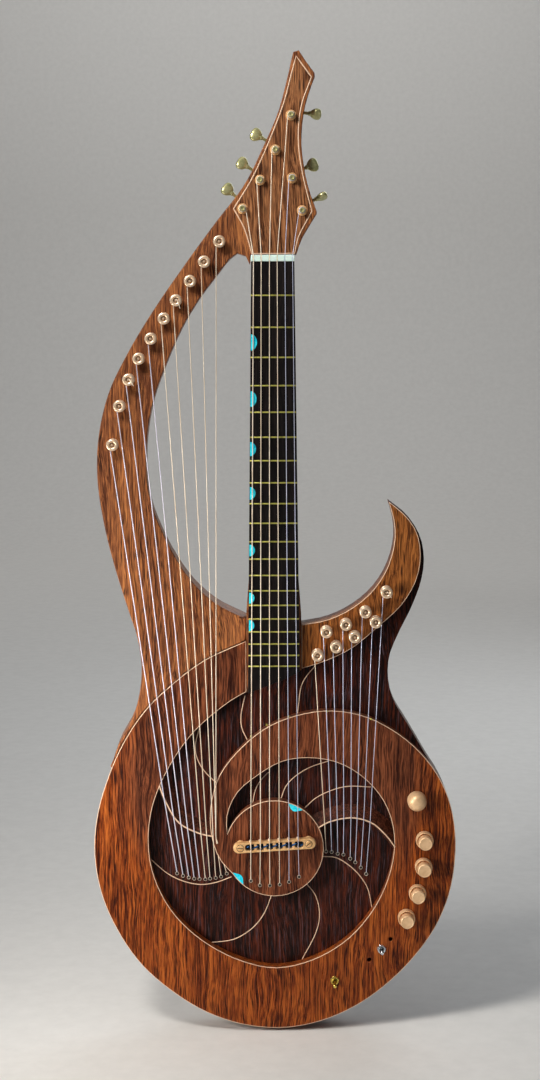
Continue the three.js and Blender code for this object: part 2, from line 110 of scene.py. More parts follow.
# The tuners: post, lie of the button's shaft in degrees from +x, side of the post that the shaft
# runs on, and turn of the button about its shaft.
TUNERS = [
    ("low_e", (-31.5, 691), 140, -1, 15),
    ("a", (-13, 720.5), 148, -1, 20),
    ("d", (3, 751.5), 152, -1, 10),
    ("g", (19.5, 787), -6, 1, 50),
    ("b", (20.5, 722.5), 21, 1, 0),
    ("high_e", (31, 689), 23, 1, 70),
]
BASS_CREST = [(-126.5, 75), (-119, 54.5), (-104.5, 30), (-83, 18), (-64, 13.5)]
TREBLE_CREST = [(45, 21.5), (60, 30), (85.5, 34.5), (106, 29), (121, 16), (134, -1)]

# Where each string ends in its ferrule: ten bass and eight treble on the floor, six on the disc.
BASS_ENDS = [(-107.7, -31.8), (-101.2, -34.6), (-94.9, -36.5), (-88.9, -37.9), (-82.9, -38.3),
             (-76.6, -38.5), (-71.3, -37.8), (-65.1, -37.1), (-59.1, -35.6), (-52.8, -32.2)]
NECK_ENDS = [(-26.1, -36.3), (-16.1, -41.4), (-5.1, -41.7), (5.6, -40.7), (15.9, -37.7),
             (26.9, -32)]
TREBLE_ENDS = [(57, -7.4), (63.1, -8), (69.8, -10), (76.1, -11), (83.6, -15.7), (89.2, -19.8),
               (95.3, -25.8), (101.3, -33.2)]
SADDLE_X = (-25.9, -15.4, -5.4, 5.2, 15.7, 25.8)
NUT_X = (-20.1, -12.0, -3.4, 4.7, 12.8, 20.8)

# The thin lines that part the sunk floor into blades, each from the disc out to the plate.
SEPTA = [
    [(-137.3, -15), (-119.2, -31.1), (-102.1, -40.2), (-81.9, -44.5), (-64.8, -42.2),
     (-47.7, -35.9)],
    [(-2.5, -54), (-10.1, -74.7), (-18.8, -88.5), (-30.3, -99.2), (-46.1, -107.7),
     (-71.9, -111.4)],
    [(33.5, -42), (44.5, -56), (49, -70.4), (49.6, -84.5), (45.2, -101.6), (30.1, -131.5)],
    [(53, -13), (67.5, -14.3), (82.2, -23.1), (94.9, -35.9), (103.3, -50.3), (108.4, -75.4)],
    [(33.9, 42.4), (45.9, 53.4), (63.1, 61.9), (80.2, 66.2), (106.3, 65.5)],
    [(7.7, 53.4), (12.7, 66.5), (22.8, 77.6), (38.9, 87.7), (59, 94.7)],
    [(-6.4, 82.6), (-15.9, 72), (-20.9, 61.9), (-23.8, 47.4)],
    [(-81.9, 132), (-86.4, 111.8), (-84.2, 97.7), (-76.3, 83.6), (-63, 70)],
    [(-31.6, 168), (-36, 146.8), (-35.3, 132.4), (-28, 116)],
    [(44.3, 200.1), (35.6, 189.8), (29.8, 178.6), (27.8, 165.8), (25.8, 149)],
]

# The inlaid line round the headstock: each of its corners, with the points on the way to the next.
HEAD_LINE = [
    [(25, 847)],
    [(41, 825.7), (30.5, 797), (27.2, 764), (31.4, 728)],
    [(41.4, 688), (32.3, 672), (26.9, 661)],
    [(23.2, 644.5)],
    [(-22, 644.3), (-24.8, 655.6), (-30.2, 672)],
    [(-40.8, 691), (-22, 721), (-3.9, 759), (12.4, 800.6), (18.7, 824)],
]

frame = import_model()
CAD_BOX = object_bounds()


# ---------- small tools ----------

def at(x, height, z):
    """A point of the model's frame, in metres."""
    return Vector((x * MM, -height * MM, z * MM))


def smooth_path(points, step):
    """Points about a step apart on a centripetal Catmull-Rom curve through these points."""
    nodes = [Vector(p) for p in points]
    nodes = [2 * nodes[0] - nodes[1]] + nodes + [2 * nodes[-1] - nodes[-2]]
    path = []
    for a, b, c, d in zip(nodes, nodes[1:], nodes[2:], nodes[3:]):
        t1 = (b - a).length ** 0.5
        t2 = t1 + (c - b).length ** 0.5
        t3 = t2 + (d - c).length ** 0.5
        count = max(1, round((c - b).length / step))
        for i in range(count):
            t = t1 + (t2 - t1) * i / count
            ab = a * (t1 - t) / t1 + b * t / t1
            bc = b * (t2 - t) / (t2 - t1) + c * (t - t1) / (t2 - t1)
            cd = c * (t3 - t) / (t3 - t2) + d * (t - t2) / (t3 - t2)
            abc = ab * (t2 - t) / t2 + bc * t / t2
            bcd = bc * (t3 - t) / (t3 - t1) + cd * (t - t1) / (t3 - t1)
            path.append(abc * (t2 - t) / (t2 - t1) + bcd * (t - t1) / (t2 - t1))
    path.append(nodes[-2])
    return path


def placed(name, data):
    """A new object in the scene."""
    made = bpy.data.objects.new(name, data)
    bpy.context.scene.collection.objects.link(made)
    return made


def new_object(name, data, material, body="root"):
    piece = placed(name, data)
    data.materials.append(material)
    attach(piece, body)
    return piece


def shade(mesh, angle=32):
    """Smooth faces, with the edges sharper than an angle left crisp."""
    mesh.shade_smooth()
    mesh.set_sharp_from_angle(angle=math.radians(angle))


def from_bmesh(name, bm, material, angle=32, body="root"):
    bmesh.ops.recalc_face_normals(bm, faces=bm.faces)
    mesh = bpy.data.meshes.new(name)
    bm.to_mesh(mesh)
    bm.free()
    shade(mesh, angle)
    return new_object(name, mesh, material, body)


def finished(node, bm, material, angle=32):
    """A mesh in the place of a CAD node, riding on that node's body."""
    body = frame["nodes"][node]["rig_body"]
    piece = from_bmesh(f"{node}_finished", bm, material, angle, body)
    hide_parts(node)
    return piece


def add_lathe(bm, profile, segments, place):
    """Turns a profile of radius and height about the y axis and adds it where a matrix says."""
    rings = []
    for radius, height in profile:
        if radius < 1e-6:
            rings.append([bm.verts.new(place @ at(0, height, 0))])
            continue
        ring = []
        for i in range(segments):
            turn = 2 * math.pi * i / segments
            ring.append(bm.verts.new(place @ at(radius * math.cos(turn), height,
                                                radius * math.sin(turn))))
        rings.append(ring)
    for low, high in zip(rings, rings[1:]):
        for i in range(segments):
            j = (i + 1) % segments
            corners = [low[i % len(low)], low[j % len(low)], high[j % len(high)],
                       high[i % len(high)]]
            kept = list(dict.fromkeys(corners))
            if len(kept) > 2:
                bm.faces.new(kept)


def add_loft(bm, rings, capped=True):
    """Skins a run of closed rings that have as many corners each, and closes its two ends."""
    for low, high in zip(rings, rings[1:]):
        for i in range(len(low)):
            bm.faces.new([low[i - 1], low[i], high[i], high[i - 1]])
    if capped:
        bm.faces.new(rings[0])
        bm.faces.new(rings[-1])


def add_board(bm, outline, back, front, place, ease=0.0):
    """A flat board with an outline of x and z points, its front edge eased by a chamfer."""
    centre = sum((Vector(p) for p in outline), Vector((0, 0))) / len(outline)
    steps = [(1.0, back), (1.0, front - ease), (0.5, front - 0.3 * ease), (0.0, front)]
    if ease == 0:
        steps = [(0.0, back), (0.0, front)]
    rings = []
    for out, height in steps:
        ring = []
        for point in outline:
            away = Vector(point) - centre
            shrink = 1 - (1 - out) * ease / max(away.length, 1e-6)
            spot = centre + away * shrink
            ring.append(bm.verts.new(place @ at(spot.x, height, spot.y)))
        rings.append(ring)
    add_loft(bm, rings)


def add_box(bm, low, high, place, ease=0.0):
    """A box between two corners given as x, height and z, with eased edges."""
    corners = [at(x, h, z) for x in (low[0], high[0]) for h in (low[1], high[1])
               for z in (low[2], high[2])]
    made = [bm.verts.new(place @ c) for c in corners]
    sides = [(0, 1, 3, 2), (4, 6, 7, 5), (0, 4, 5, 1), (2, 3, 7, 6), (0, 2, 6, 4), (1, 5, 7, 3)]
    faces = [bm.faces.new([made[i] for i in side]) for side in sides]
    if ease:
        edges = list(dict.fromkeys(e for f in faces for e in f.edges))
        bmesh.ops.bevel(bm, geom=edges, offset=ease * MM, segments=2, profile=0.5,
                        affect="EDGES", clamp_overlap=True)


def stand(x, z, height, turn=0.0, lean=0.0):
    """The place of a fitting: its foot, its turn seen from the front and its lean about x."""
    return (Matrix.Translation(at(x, height, z)) @ Matrix.Rotation(-math.radians(turn), 4, "Y")
            @ Matrix.Rotation(math.radians(lean), 4, "X"))


def moved(place, x, height, z, turn=0.0, axis="Y"):
    """A place moved within itself, then turned about one of its own axes, in degrees."""
    return (place @ Matrix.Translation(at(x, height, z))
            @ Matrix.Rotation(math.radians(turn), 4, axis))


def polar(radius, angle):
    """A point round the disc's centre, as x and z."""
    turn = math.radians(angle)
    return radius * math.cos(turn), radius * math.sin(turn)


def on_control_arc(angle):
    return polar(CONTROL_RADIUS, angle)


def stadium(length, width, steps=14):
    """The outline of a bar with round ends."""
    half = (length - width) / 2
    points = []
    for side, start in ((1, -90), (-1, 90)):
        for i in range(steps + 1):
            x, z = polar(width / 2, start + 180 * i / steps)
            points.append((side * half + x, z))
    return points


def ellipse(wide, tall, steps=28):
    return [(wide * math.cos(2 * math.pi * i / steps), tall * math.sin(2 * math.pi * i / steps))
            for i in range(steps)]


def wire(name, points, diameter, material, slot_name, closed=False):
    """A round wire or bead along points of the model's frame."""
    data = bpy.data.curves.new(name, "CURVE")
    data.dimensions = "3D"
    data.bevel_depth = diameter / 2 * MM
    data.bevel_resolution = 3
    data.use_fill_caps = True
    line = data.splines.new("POLY")
    line.points.add(len(points) - 1)
    for spot, point in zip(line.points, points):
        spot.co = (*point, 1)
    line.use_cyclic_u = closed
    line.use_smooth = True
    return new_object(name, data, material)


# ---------- materials ----------

def linear(colour):
    """A colour of 0 to 255 screen values as the linear values that the shader takes."""
    def channel(value):
        share = value / 255
        return share / 12.92 if share <= 0.04045 else ((share + 0.055) / 1.055) ** 2.4
    return [channel(value) for value in colour] + [1]


class Graph:
    """A material's node tree, with short calls for its nodes."""

    def __init__(self, name):
        self.material = bpy.data.materials.new(name)
        self.material.use_nodes = True
        self.tree = self.material.node_tree
        self.shader = self.tree.nodes["Principled BSDF"]
        self.place = self.node("ShaderNodeTexCoord").outputs["Object"]

    def node(self, kind, **settings):
        made = self.tree.nodes.new(kind)
        for key, value in settings.items():
            setattr(made, key, value)
        return made

    def feed(self, sockets, values):
        """Gives each socket another one's value, or a plain number or colour."""
        for socket, value in zip(sockets, values):
            if isinstance(value, bpy.types.NodeSocket):
                self.tree.links.new(value, socket)
            else:
                socket.default_value = linear(value) if socket.type == "RGBA" else value

    def set(self, node, **values):
        self.feed([node.inputs[key.replace("_", " ")] for key in values], values.values())
        return node

    def stretched(self, scale, vector=None, location=(0, 0, 0)):
        mapping = self.node("ShaderNodeMapping")
        self.set(mapping, Vector=vector or self.place, Location=location, Scale=scale)
        return mapping.outputs["Vector"]

    def noise(self, vector, scale, detail=4.0, roughness=0.55, distortion=0.0):
        made = self.node("ShaderNodeTexNoise")
        self.set(made, Vector=vector, Scale=scale, Detail=detail, Roughness=roughness,
                 Distortion=distortion)
        return made.outputs["Fac"]

    def ramp(self, factor, *stops):
        made = self.node("ShaderNodeValToRGB")
        colours = made.color_ramp
        for i, (place, colour) in enumerate(stops):
            spot = colours.elements[i] if i < 2 else colours.elements.new(place)
            spot.position = place
            spot.color = linear(colour)
        self.set(made, Fac=factor)
        return made.outputs["Color"]

    def spread(self, factor, low, high, to_low, to_high):
        made = self.node("ShaderNodeMapRange")
        self.set(made, Value=factor, From_Min=low, From_Max=high, To_Min=to_low, To_Max=to_high)
        return made.outputs["Result"]

    def mix(self, factor, first, second):
        made = self.node("ShaderNodeMix", data_type="RGBA")
        sockets = {s.identifier: s for s in made.inputs}
        self.feed([sockets[key] for key in ("Factor_Float", "A_Color", "B_Color")],
                  (factor, first, second))
        return next(s for s in made.outputs if s.identifier == "Result_Color")

    def clouded(self, factor, first, second, low=0.35, high=0.7):
        """One colour that passes into another as a noise goes from low to high."""
        return self.mix(self.spread(factor, low, high, 0.0, 1.0), first, second)

    def math(self, operation, *values):
        made = self.node("ShaderNodeMath", operation=operation)
        self.feed(made.inputs, values)
        return made.outputs["Value"]

    def vector_math(self, operation, *values):
        made = self.node("ShaderNodeVectorMath", operation=operation)
        self.feed(made.inputs, values)
        return made.outputs["Value" if operation == "DISTANCE" else "Vector"]

    def bump(self, height, distance, strength=1.0):
        made = self.node("ShaderNodeBump")
        self.set(made, Height=height, Distance=distance, Strength=strength)
        self.set(self.shader, Normal=made.outputs["Normal"])

    def finish(self, **values):
        self.set(self.shader, **values)
        return self.material


def wood(name, tones, pore, figure, wander=0.0045, gloss=0.3, seed=0.0, heart=None, pore_sheen=None):
    """Oiled open-pored rosewood with its grain up the instrument: broad streaks of colour, fine
    dark lines that wander, and short open pores cut into the surface. Tones are the dark, middle
    and light colours of the grain, heart those of the browner wood round the disc, and the last
    colour a pale painted sheen laid into some pores, where they catch the light."""
    g = Graph(name)
    drift = g.math("SUBTRACT", g.noise(g.stretched((3.2, 3.2, 1.3)), 5.0, detail=2.0), 0.5)
    place = g.vector_math("MULTIPLY_ADD", drift, (wander * 6, wander * 2, 0), g.place)
    grain = g.stretched((1, 1, 0.027), place, (seed, seed * 0.7, seed * 0.3))
    broad = g.noise(grain, figure * 4, detail=3.0, roughness=0.6, distortion=0.8)
    fine = g.noise(grain, figure * 20, detail=5.0, roughness=0.75, distortion=0.3)
    lines = g.noise(grain, figure * 78, detail=3.0, roughness=0.7)
    wide = g.math("ADD", g.math("MULTIPLY", broad, 0.18), g.math("MULTIPLY", fine, 0.34))
    tone = g.math("ADD", wide, g.math("MULTIPLY", lines, 0.48))

    def stained(colours):
        dark, middle, light = colours
        return g.ramp(tone, (0.43, dark), (0.565, light), (0.49, middle))

    colour = stained(tones)
    if heart:
        away = g.vector_math("DISTANCE", g.stretched((1, 0, 1)), (0, 0, 0.08))
        ragged = g.math("ADD", away, g.math("MULTIPLY", broad, 0.05))
        colour = g.mix(g.spread(ragged, 0.172, 0.205, 1.0, 0.0), colour, stained(heart))
    streak = g.spread(g.noise(grain, figure * 38, detail=2.0), 0.36, 0.46, 1.0, 0.0)
    colour = g.mix(g.math("MULTIPLY", streak, 0.65), colour, tones[0])
    pores = g.node("ShaderNodeTexVoronoi", feature="F1")
    g.set(pores, Vector=g.stretched((1, 1, 0.085), place), Scale=560.0, Randomness=1.0)
    pore_mask = g.spread(pores.outputs["Distance"], 0.2, 0.38, 1.0, 0.0)
    patch = g.spread(g.noise(grain, figure * 9, detail=2.0), 0.42, 0.58, 0.15, 0.95)
    pore_mask = g.math("MULTIPLY", pore_mask, patch)
    colour = g.mix(pore_mask, colour, pore)
    # Painted sheen: a pale colour laid into some pores, standing in for the light that they catch.
    if pore_sheen:
        sheen_noise = g.noise(grain, figure * 40, detail=4.0, roughness=0.7)
        colour = g.mix(g.spread(sheen_noise, 0.56, 0.64, 0.0, 0.42), colour, pore_sheen)
    rough = g.math("ADD", g.spread(fine, 0.3, 0.7, gloss - 0.05, gloss + 0.08),
                   g.math("MULTIPLY", pore_mask, 0.2))
    relief = g.math("SUBTRACT", g.math("MULTIPLY", fine, 0.35), pore_mask)
    g.bump(relief, 0.00015, 0.6)
    return g.finish(Base_Color=colour, Roughness=rough, Specular_IOR_Level=0.15)


def metal(name, colour, tint, rough, wear=0.16, metallic=1.0):
    """Plated metal with faint handling marks and a little tarnish."""
    g = Graph(name)
    cloud = g.noise(g.place, 260.0, detail=4.0)
    fine = g.noise(g.place, 2400.0, detail=2.0)
    tone = g.clouded(cloud, colour, tint, 0.4)
    roughness = g.math("ADD", g.spread(cloud, 0.3, 0.7, rough, rough + wear),
                       g.spread(fine, 0.3, 0.7, -0.03, 0.05))
    g.bump(fine, 0.00002, 0.35)
    return g.finish(Base_Color=tone, Metallic=metallic, Roughness=roughness)


def wound_metal(name, colour, tint):
    """A string wrapped with fine wire, whose turns show as close rings up the string."""
    g = Graph(name)
    rings = g.node("ShaderNodeTexWave", wave_type="BANDS", bands_direction="Z")
    g.set(rings, Vector=g.place, Scale=900.0, Distortion=0.0, Detail=0.0)
    cloud = g.noise(g.stretched((1, 1, 0.3)), 90.0, detail=3.0)
    tone = g.clouded(cloud, colour, tint)
    g.bump(rings.outputs["Fac"], 0.00005, 0.5)
    return g.finish(Base_Color=tone, Metallic=0.35, Roughness=0.36)


def stone(name, base, light, vein):
    """Reconstituted turquoise: clear blue with paler clouds and a few faint veins."""
    g = Graph(name)
    cloud = g.noise(g.place, 260.0, detail=4.0, distortion=0.8)
    cells = g.node("ShaderNodeTexVoronoi", feature="DISTANCE_TO_EDGE")
    g.set(cells, Vector=g.place, Scale=190.0)
    edge = g.spread(cells.outputs["Distance"], 0.0, 0.03, 0.22, 0.0)
    tone = g.mix(edge, g.ramp(cloud, (0.38, base), (0.66, light)), vein)
    g.bump(cloud, 0.00003, 0.3)
    return g.finish(Base_Color=tone, Roughness=g.spread(cloud, 0.3, 0.7, 0.22, 0.34),
                    Specular_IOR_Level=0.35)


def bone(name, base, shade_colour):
    g = Graph(name)
    grain = g.noise(g.stretched((0.12, 1, 1)), 1500.0, detail=3.0)
    tone = g.mix(g.spread(grain, 0.4, 0.7, 0.0, 0.6), base, shade_colour)
    g.bump(grain, 0.00002, 0.3)
    return g.finish(Base_Color=tone, Roughness=g.spread(grain, 0.3, 0.7, 0.3, 0.45),
                    Subsurface_Weight=0.1, Subsurface_Scale=0.002)


def lacquered(name, base, light):
    """The pale wooden binding, with its grain along the strip too fine to follow."""
    g = Graph(name)
    flake = g.noise(g.place, 900.0, detail=3.0)
    tone = g.clouded(flake, base, light)
    g.bump(flake, 0.00002, 0.3)
    return g.finish(Base_Color=tone, Roughness=g.spread(flake, 0.3, 0.7, 0.4, 0.52))


def moulded(name, base, light):
    g = Graph(name)
    pebble = g.noise(g.place, 1800.0, detail=3.0)
    haze = g.noise(g.place, 40.0, detail=3.0)
    tone = g.clouded(haze, base, light)
    g.bump(pebble, 0.00003, 0.5)
    return g.finish(Base_Color=tone, Roughness=g.spread(pebble, 0.3, 0.7, 0.45, 0.6))


def brushed_knob(name):
    """Champagne anodised metal, turned, so its fine marks run round the knob."""
    g = Graph(name)
    fine = g.noise(g.stretched((1, 6, 1)), 1300.0, detail=3.0)
    cloud = g.noise(g.place, 140.0, detail=2.0)
    tone = g.clouded(cloud, (250, 210, 164), (230, 188, 142))
    g.bump(fine, 0.00002, 0.35)
    return g.finish(Base_Color=tone, Metallic=0.35,
                    Roughness=g.spread(fine, 0.3, 0.7, 0.36, 0.48))


ROSEWOOD = wood("rosewood", ((44, 14, 6), (124, 54, 20), (180, 96, 38)),
                (26, 9, 5), figure=18.0,
                heart=((38, 15, 9), (98, 52, 33), (140, 80, 50)))
HORN_WOOD = wood("horn_rosewood", ((58, 28, 14), (130, 75, 37), (178, 110, 54)),
                 (34, 16, 10), figure=20.0, wander=0.007, seed=0.37)
ARM_WOOD = wood("arm_rosewood", ((78, 42, 27), (128, 77, 49), (182, 116, 66)),
                (28, 14, 10), figure=20.0, wander=0.006, seed=0.81)
HEAD_WOOD = wood("headstock_overlay_rosewood", ((50, 27, 17), (122, 76, 48), (176, 120, 78)),
                 (28, 14, 10), figure=19.0, seed=0.53)
RIDGE_WOOD = wood("ridge_rosewood", ((24, 10, 7), (72, 38, 27), (112, 62, 44)),
                  (14, 7, 5), figure=17.0, seed=0.23)
# The floor's pores carry a pale bluish painted sheen.
FLOOR_WOOD = wood("floor_rosewood", ((7, 3, 3), (38, 15, 9), (92, 38, 20)),
                  (8, 5, 4), figure=22.0, gloss=0.36, seed=0.61, pore_sheen=(96, 86, 96))
BACK_WOOD = wood("back_rosewood", ((34, 14, 9), (92, 46, 28), (138, 80, 48)),
                 (20, 9, 6), figure=15.0, wander=0.01, seed=0.45)
EBONY = wood("ebony", ((6, 5, 5), (16, 13, 13), (34, 26, 25)),
             (4, 3, 3), figure=22.0, gloss=0.4, seed=0.12)
GOLD = metal("gold_plate", (250, 204, 146), (226, 172, 110), 0.3, metallic=0.5)
PEG_GOLD = metal("peg_gold", (252, 226, 196), (228, 190, 152), 0.24, metallic=0.65)
TOGGLE_GOLD = metal("toggle_gold", (228, 204, 104), (170, 140, 62), 0.18)
NICKEL = metal("ferrule_nickel", (212, 198, 178), (160, 148, 132), 0.32, metallic=0.45)
AGED_GOLD = metal("aged_gold", (214, 208, 152), (158, 160, 108), 0.26, metallic=0.7)
CHROME = metal("chrome", (214, 218, 222), (178, 186, 192), 0.14, wear=0.1)
# Darker gold for the hollow in each peg's head: painted shade.
HOLLOW_SHADE = metal("peg_hollow_shade", (200, 166, 132), (148, 118, 92), 0.3, metallic=0.6)
DARK_STEEL = metal("dark_steel", (38, 46, 62), (22, 26, 36), 0.3)
BLUED_STEEL = metal("blued_steel", (58, 112, 176), (30, 62, 112), 0.28, metallic=0.8)
BRASS = metal("fret_brass", (190, 184, 92), (148, 144, 66), 0.3, metallic=0.6)
STEEL_STRING = metal("plain_string", (222, 226, 248), (196, 204, 234), 0.28, metallic=0.4)
BRONZE_STRING = wound_metal("wound_string", (252, 240, 220), (234, 212, 184))
SILVER_WOUND = wound_metal("silver_wound_string", (240, 236, 250), (216, 216, 236))
BINDING = lacquered("maple_binding", (222, 184, 152), (240, 208, 178))
TURQUOISE = stone("turquoise", (8, 204, 234), (70, 236, 250), (20, 156, 186))
BONE = bone("nut_bone", (218, 240, 230), (196, 222, 214))
PLASTIC = moulded("cover_plastic", (22, 22, 24), (34, 33, 34))
CIRCUIT = moulded("circuit_board", (22, 78, 50), (36, 102, 66))
KNOB = brushed_knob("knob_metal")
# Near black for the holes, gaps and the bridge's slot: painted shade.
SHADOW = moulded("painted_shade", (10, 8, 8), (18, 14, 13))


# ---------- camera, floor and light ----------

CAMERA_SPOT = (-3.8, 1961, 582.1)
CAMERA_TILT = 82.81
CAMERA_ROLL = -0.19
FOCAL_LENGTH = 59.907


def make_camera():
    """The photographer's view: about two metres in front, level with the upper neck, and
    tilted down."""
    data = bpy.data.cameras.new("camera")
    data.lens = FOCAL_LENGTH
    data.sensor_width = 36
    data.clip_end = 50
    camera = placed("camera", data)
    camera.location = at(*CAMERA_SPOT)
    tilt = Matrix.Rotation(math.radians(CAMERA_TILT), 4, "X")
    roll = Matrix.Rotation(math.radians(CAMERA_ROLL), 4, "Z")
    camera.rotation_euler = (tilt @ roll).to_euler()
    bpy.context.scene.camera = camera


def make_backdrop():
    """A pale floor that curves up into a wall behind the instrument, all in metres."""
    floor_z = CAD_BOX[0].z - 0.004
    bend = 1.2
    back = 3.9
    reach = 16.0
    wall_height = 6
    profile = [Vector((-reach, floor_z))]
    for i in range(17):
        turn = math.pi / 2 * i / 16
        profile.append(Vector((back + bend * math.sin(turn),
                               floor_z + bend * (1 - math.cos(turn)))))
    profile.append(Vector((back + bend, floor_z + wall_height)))
    bm = bmesh.new()
    rows = [[bm.verts.new((x, p.x, p.y)) for p in profile] for x in (-reach, reach)]
    for i in range(len(profile) - 1):
        bm.faces.new([rows[0][i], rows[1][i], rows[1][i + 1], rows[0][i + 1]])
    mesh = bpy.data.meshes.new("studio_floor")
    bm.to_mesh(mesh)
    bm.free()
    mesh.shade_smooth()
    g = Graph("pale_paper")
    tooth = g.noise(g.place, 60.0, detail=4.0)
    tone = g.clouded(tooth, (224, 222, 218), (230, 228, 224), 0.3)
    mesh.materials.append(g.finish(Base_Color=tone, Roughness=0.9))
    placed("studio_floor", mesh)


def area_light(name, location, target, size, power, colour=(1, 1, 1), spread=180):
    """A softbox that the camera doesn't see, aimed at a target, both places in metres."""
    data = bpy.data.lights.new(name, "AREA")
    data.shape = "RECTANGLE"
    data.size, data.size_y = size
    data.energy = power
    data.color = colour
    data.spread = math.radians(spread)
    lamp = placed(name, data)
    lamp.location = location
    aim = Vector(target) - Vector(location)
    lamp.rotation_euler = aim.to_track_quat("-Z", "Y").to_euler()
    lamp.visible_camera = False


def make_light():
    """A soft key near the left, one above it for the headstock, weak fills, a light behind, one
    on the wall, and a wide soft light from overhead."""
    middle = (0.0, 0.0, 0.25)
    area_light("key", (-0.55, -0.42, 0.14), (0.0, 0.0, 0.12), (0.1, 0.22), 1.8,
               (1.0, 0.95, 0.88), 110)
    area_light("upper", (-0.55, -0.75, 1.2), (-0.05, 0.0, 0.72), (0.3, 0.3), 12,
               (1.0, 0.97, 0.93))
    area_light("fill", (1.6, -2.2, 0.5), middle, (1.2, 1.2), 0.8, (0.86, 0.92, 1.0))
    area_light("top", (0.2, -0.6, 2.4), middle, (1.2, 0.8), 2.2, (0.9, 0.94, 1.0))
    area_light("back", (0.8, 1.5, 1.5), middle, (1.4, 1.4), 14, (0.9, 0.95, 1.0))
    area_light("wall", (0.0, 3.0, 2.8), (0.0, 5.1, 0.5), (3.0, 0.6), 34)
    overhead = bpy.data.lights.new("overhead", "SUN")
    overhead.energy = 0.22
    overhead.angle = 1.2
    placed("overhead", overhead)
    world = bpy.data.worlds.new("soft_room")
    world.use_nodes = True
    sky = world.node_tree.nodes["Background"]
    sky.inputs["Color"].default_value = (0.88, 0.92, 1.0, 1)
    sky.inputs["Strength"].default_value = 0.07
    bpy.context.scene.world = world
    bpy.context.scene.view_settings.view_transform = "Standard"


# ---------- wooden parts, eased from the CAD solids ----------

# The way that a flat face looks along y.
FRONT, BACK = -1, 1


def welded(node):
    """A CAD solid as a closed mesh with no custom normals."""
    source = frame["nodes"][node].data
    bm = bmesh.new()
    corners = [bm.verts.new(v.co) for v in source.vertices]
    for face in source.polygons:
        bm.faces.new([corners[i] for i in face.vertices])
    bmesh.ops.remove_doubles(bm, verts=bm.verts, dist=1e-5)
    bm.verts.index_update()
    bm.edges.index_update()
    bm.normal_update()
    return bm


def cap_faces(bm, height, facing):
    """The flat faces at one height that look to the front or to the back."""
    level = -height * MM
    return {f for f in bm.faces if f.normal.y * facing > 0.999
            and all(abs(v.co.y - level) < 0.05 * MM for v in f.verts)}


def cap_rims(bm, flat):
    """The rims of flat faces, each as a list of (corner, inward direction)."""
    inward = {}
    linked = {}
    for edge in bm.edges:
        inside = [f for f in edge.link_faces if f in flat]
        if len(inside) != 1:
            continue
        along = (edge.verts[1].co - edge.verts[0].co).normalized()
        across = inside[0].normal.cross(along)
        middle = (edge.verts[0].co + edge.verts[1].co) / 2
        if across.dot(inside[0].calc_center_median() - middle) < 0:
            across.negate()
        inward[edge] = across
        for vertex in edge.verts:
            linked.setdefault(vertex, []).append(edge)
    rims = []
    left = dict.fromkeys(sorted(inward, key=lambda e: e.index))
    while left:
        edge = next(iter(left))
        del left[edge]
        first, here = edge.verts
        chain = [(first, edge)]
        while here is not first:
            onward = [e for e in linked[here] if e in left]
            if not onward:
                break
            chain.append((here, onward[0]))
            del left[onward[0]]
            here = onward[0].other_vert(here)
        rim = []
        for i, (corner, after) in enumerate(chain):
            one, other = inward[chain[i - 1][1]], inward[after]
            mitre = (one + other) / max(0.35, 1 + one.dot(other))
            rim.append((corner, mitre))
        rims.append(rim)
    return rims


def rim_length(rim):
    spots = [corner.co for corner, _ in rim]
    return sum((a - b).length for a, b in zip(spots, spots[1:] + spots[:1]))


def close_rings(bm, rings, facing):
    """Fills the flat between rings of corners with triangles."""
    edges = [bm.edges.get((ring[i - 1], ring[i])) for ring in rings for i in range(len(ring))]
    bmesh.ops.triangle_fill(bm, edges=edges, use_beauty=True, normal=(0, facing, 0))


def round_cap(bm, height, facing, ease, steps=3):
    """Rounds the edge between a flat face and the walls round it, and less so round a small
    hole."""
    flat = cap_faces(bm, height, facing)
    rims = cap_rims(bm, flat)
    bmesh.ops.delete(bm, geom=list(flat), context="FACES_KEEP_BOUNDARY")
    small_rim, small_ease = 60 * MM, 0.4
    inner = []
    for rim in rims:
        radius = (ease if rim_length(rim) > small_rim else min(ease, small_ease)) * MM
        ring = [corner for corner, _ in rim]
        starts = [corner.co.copy() for corner in ring]
        for corner in ring:
            corner.co.y -= facing * radius
        for step in range(1, steps + 1):
            turn = math.pi / 2 * step / steps
            inset = radius * (1 - math.cos(turn))
            drop = radius * (1 - math.sin(turn))
            lift = Vector((0, -facing * drop, 0))
            onward = [bm.verts.new(spot + mitre * inset + lift)
                      for spot, (_, mitre) in zip(starts, rim)]
            add_loft(bm, [ring, onward], capped=False)
            ring = onward
        inner.append(ring)
    close_rings(bm, inner, facing)


def eased(node, material, slot_name, *caps):
    """A finished copy of a CAD solid. Each cap is a height, the way it faces and its rounding."""
    bm = welded(node)
    for height, facing, ease in caps:
        round_cap(bm, height, facing, ease)
    piece = finished(node, bm, material, 28)
    normals = piece.modifiers.new("weighted_normals", "WEIGHTED_NORMAL")
    normals.keep_sharp = True
    return piece


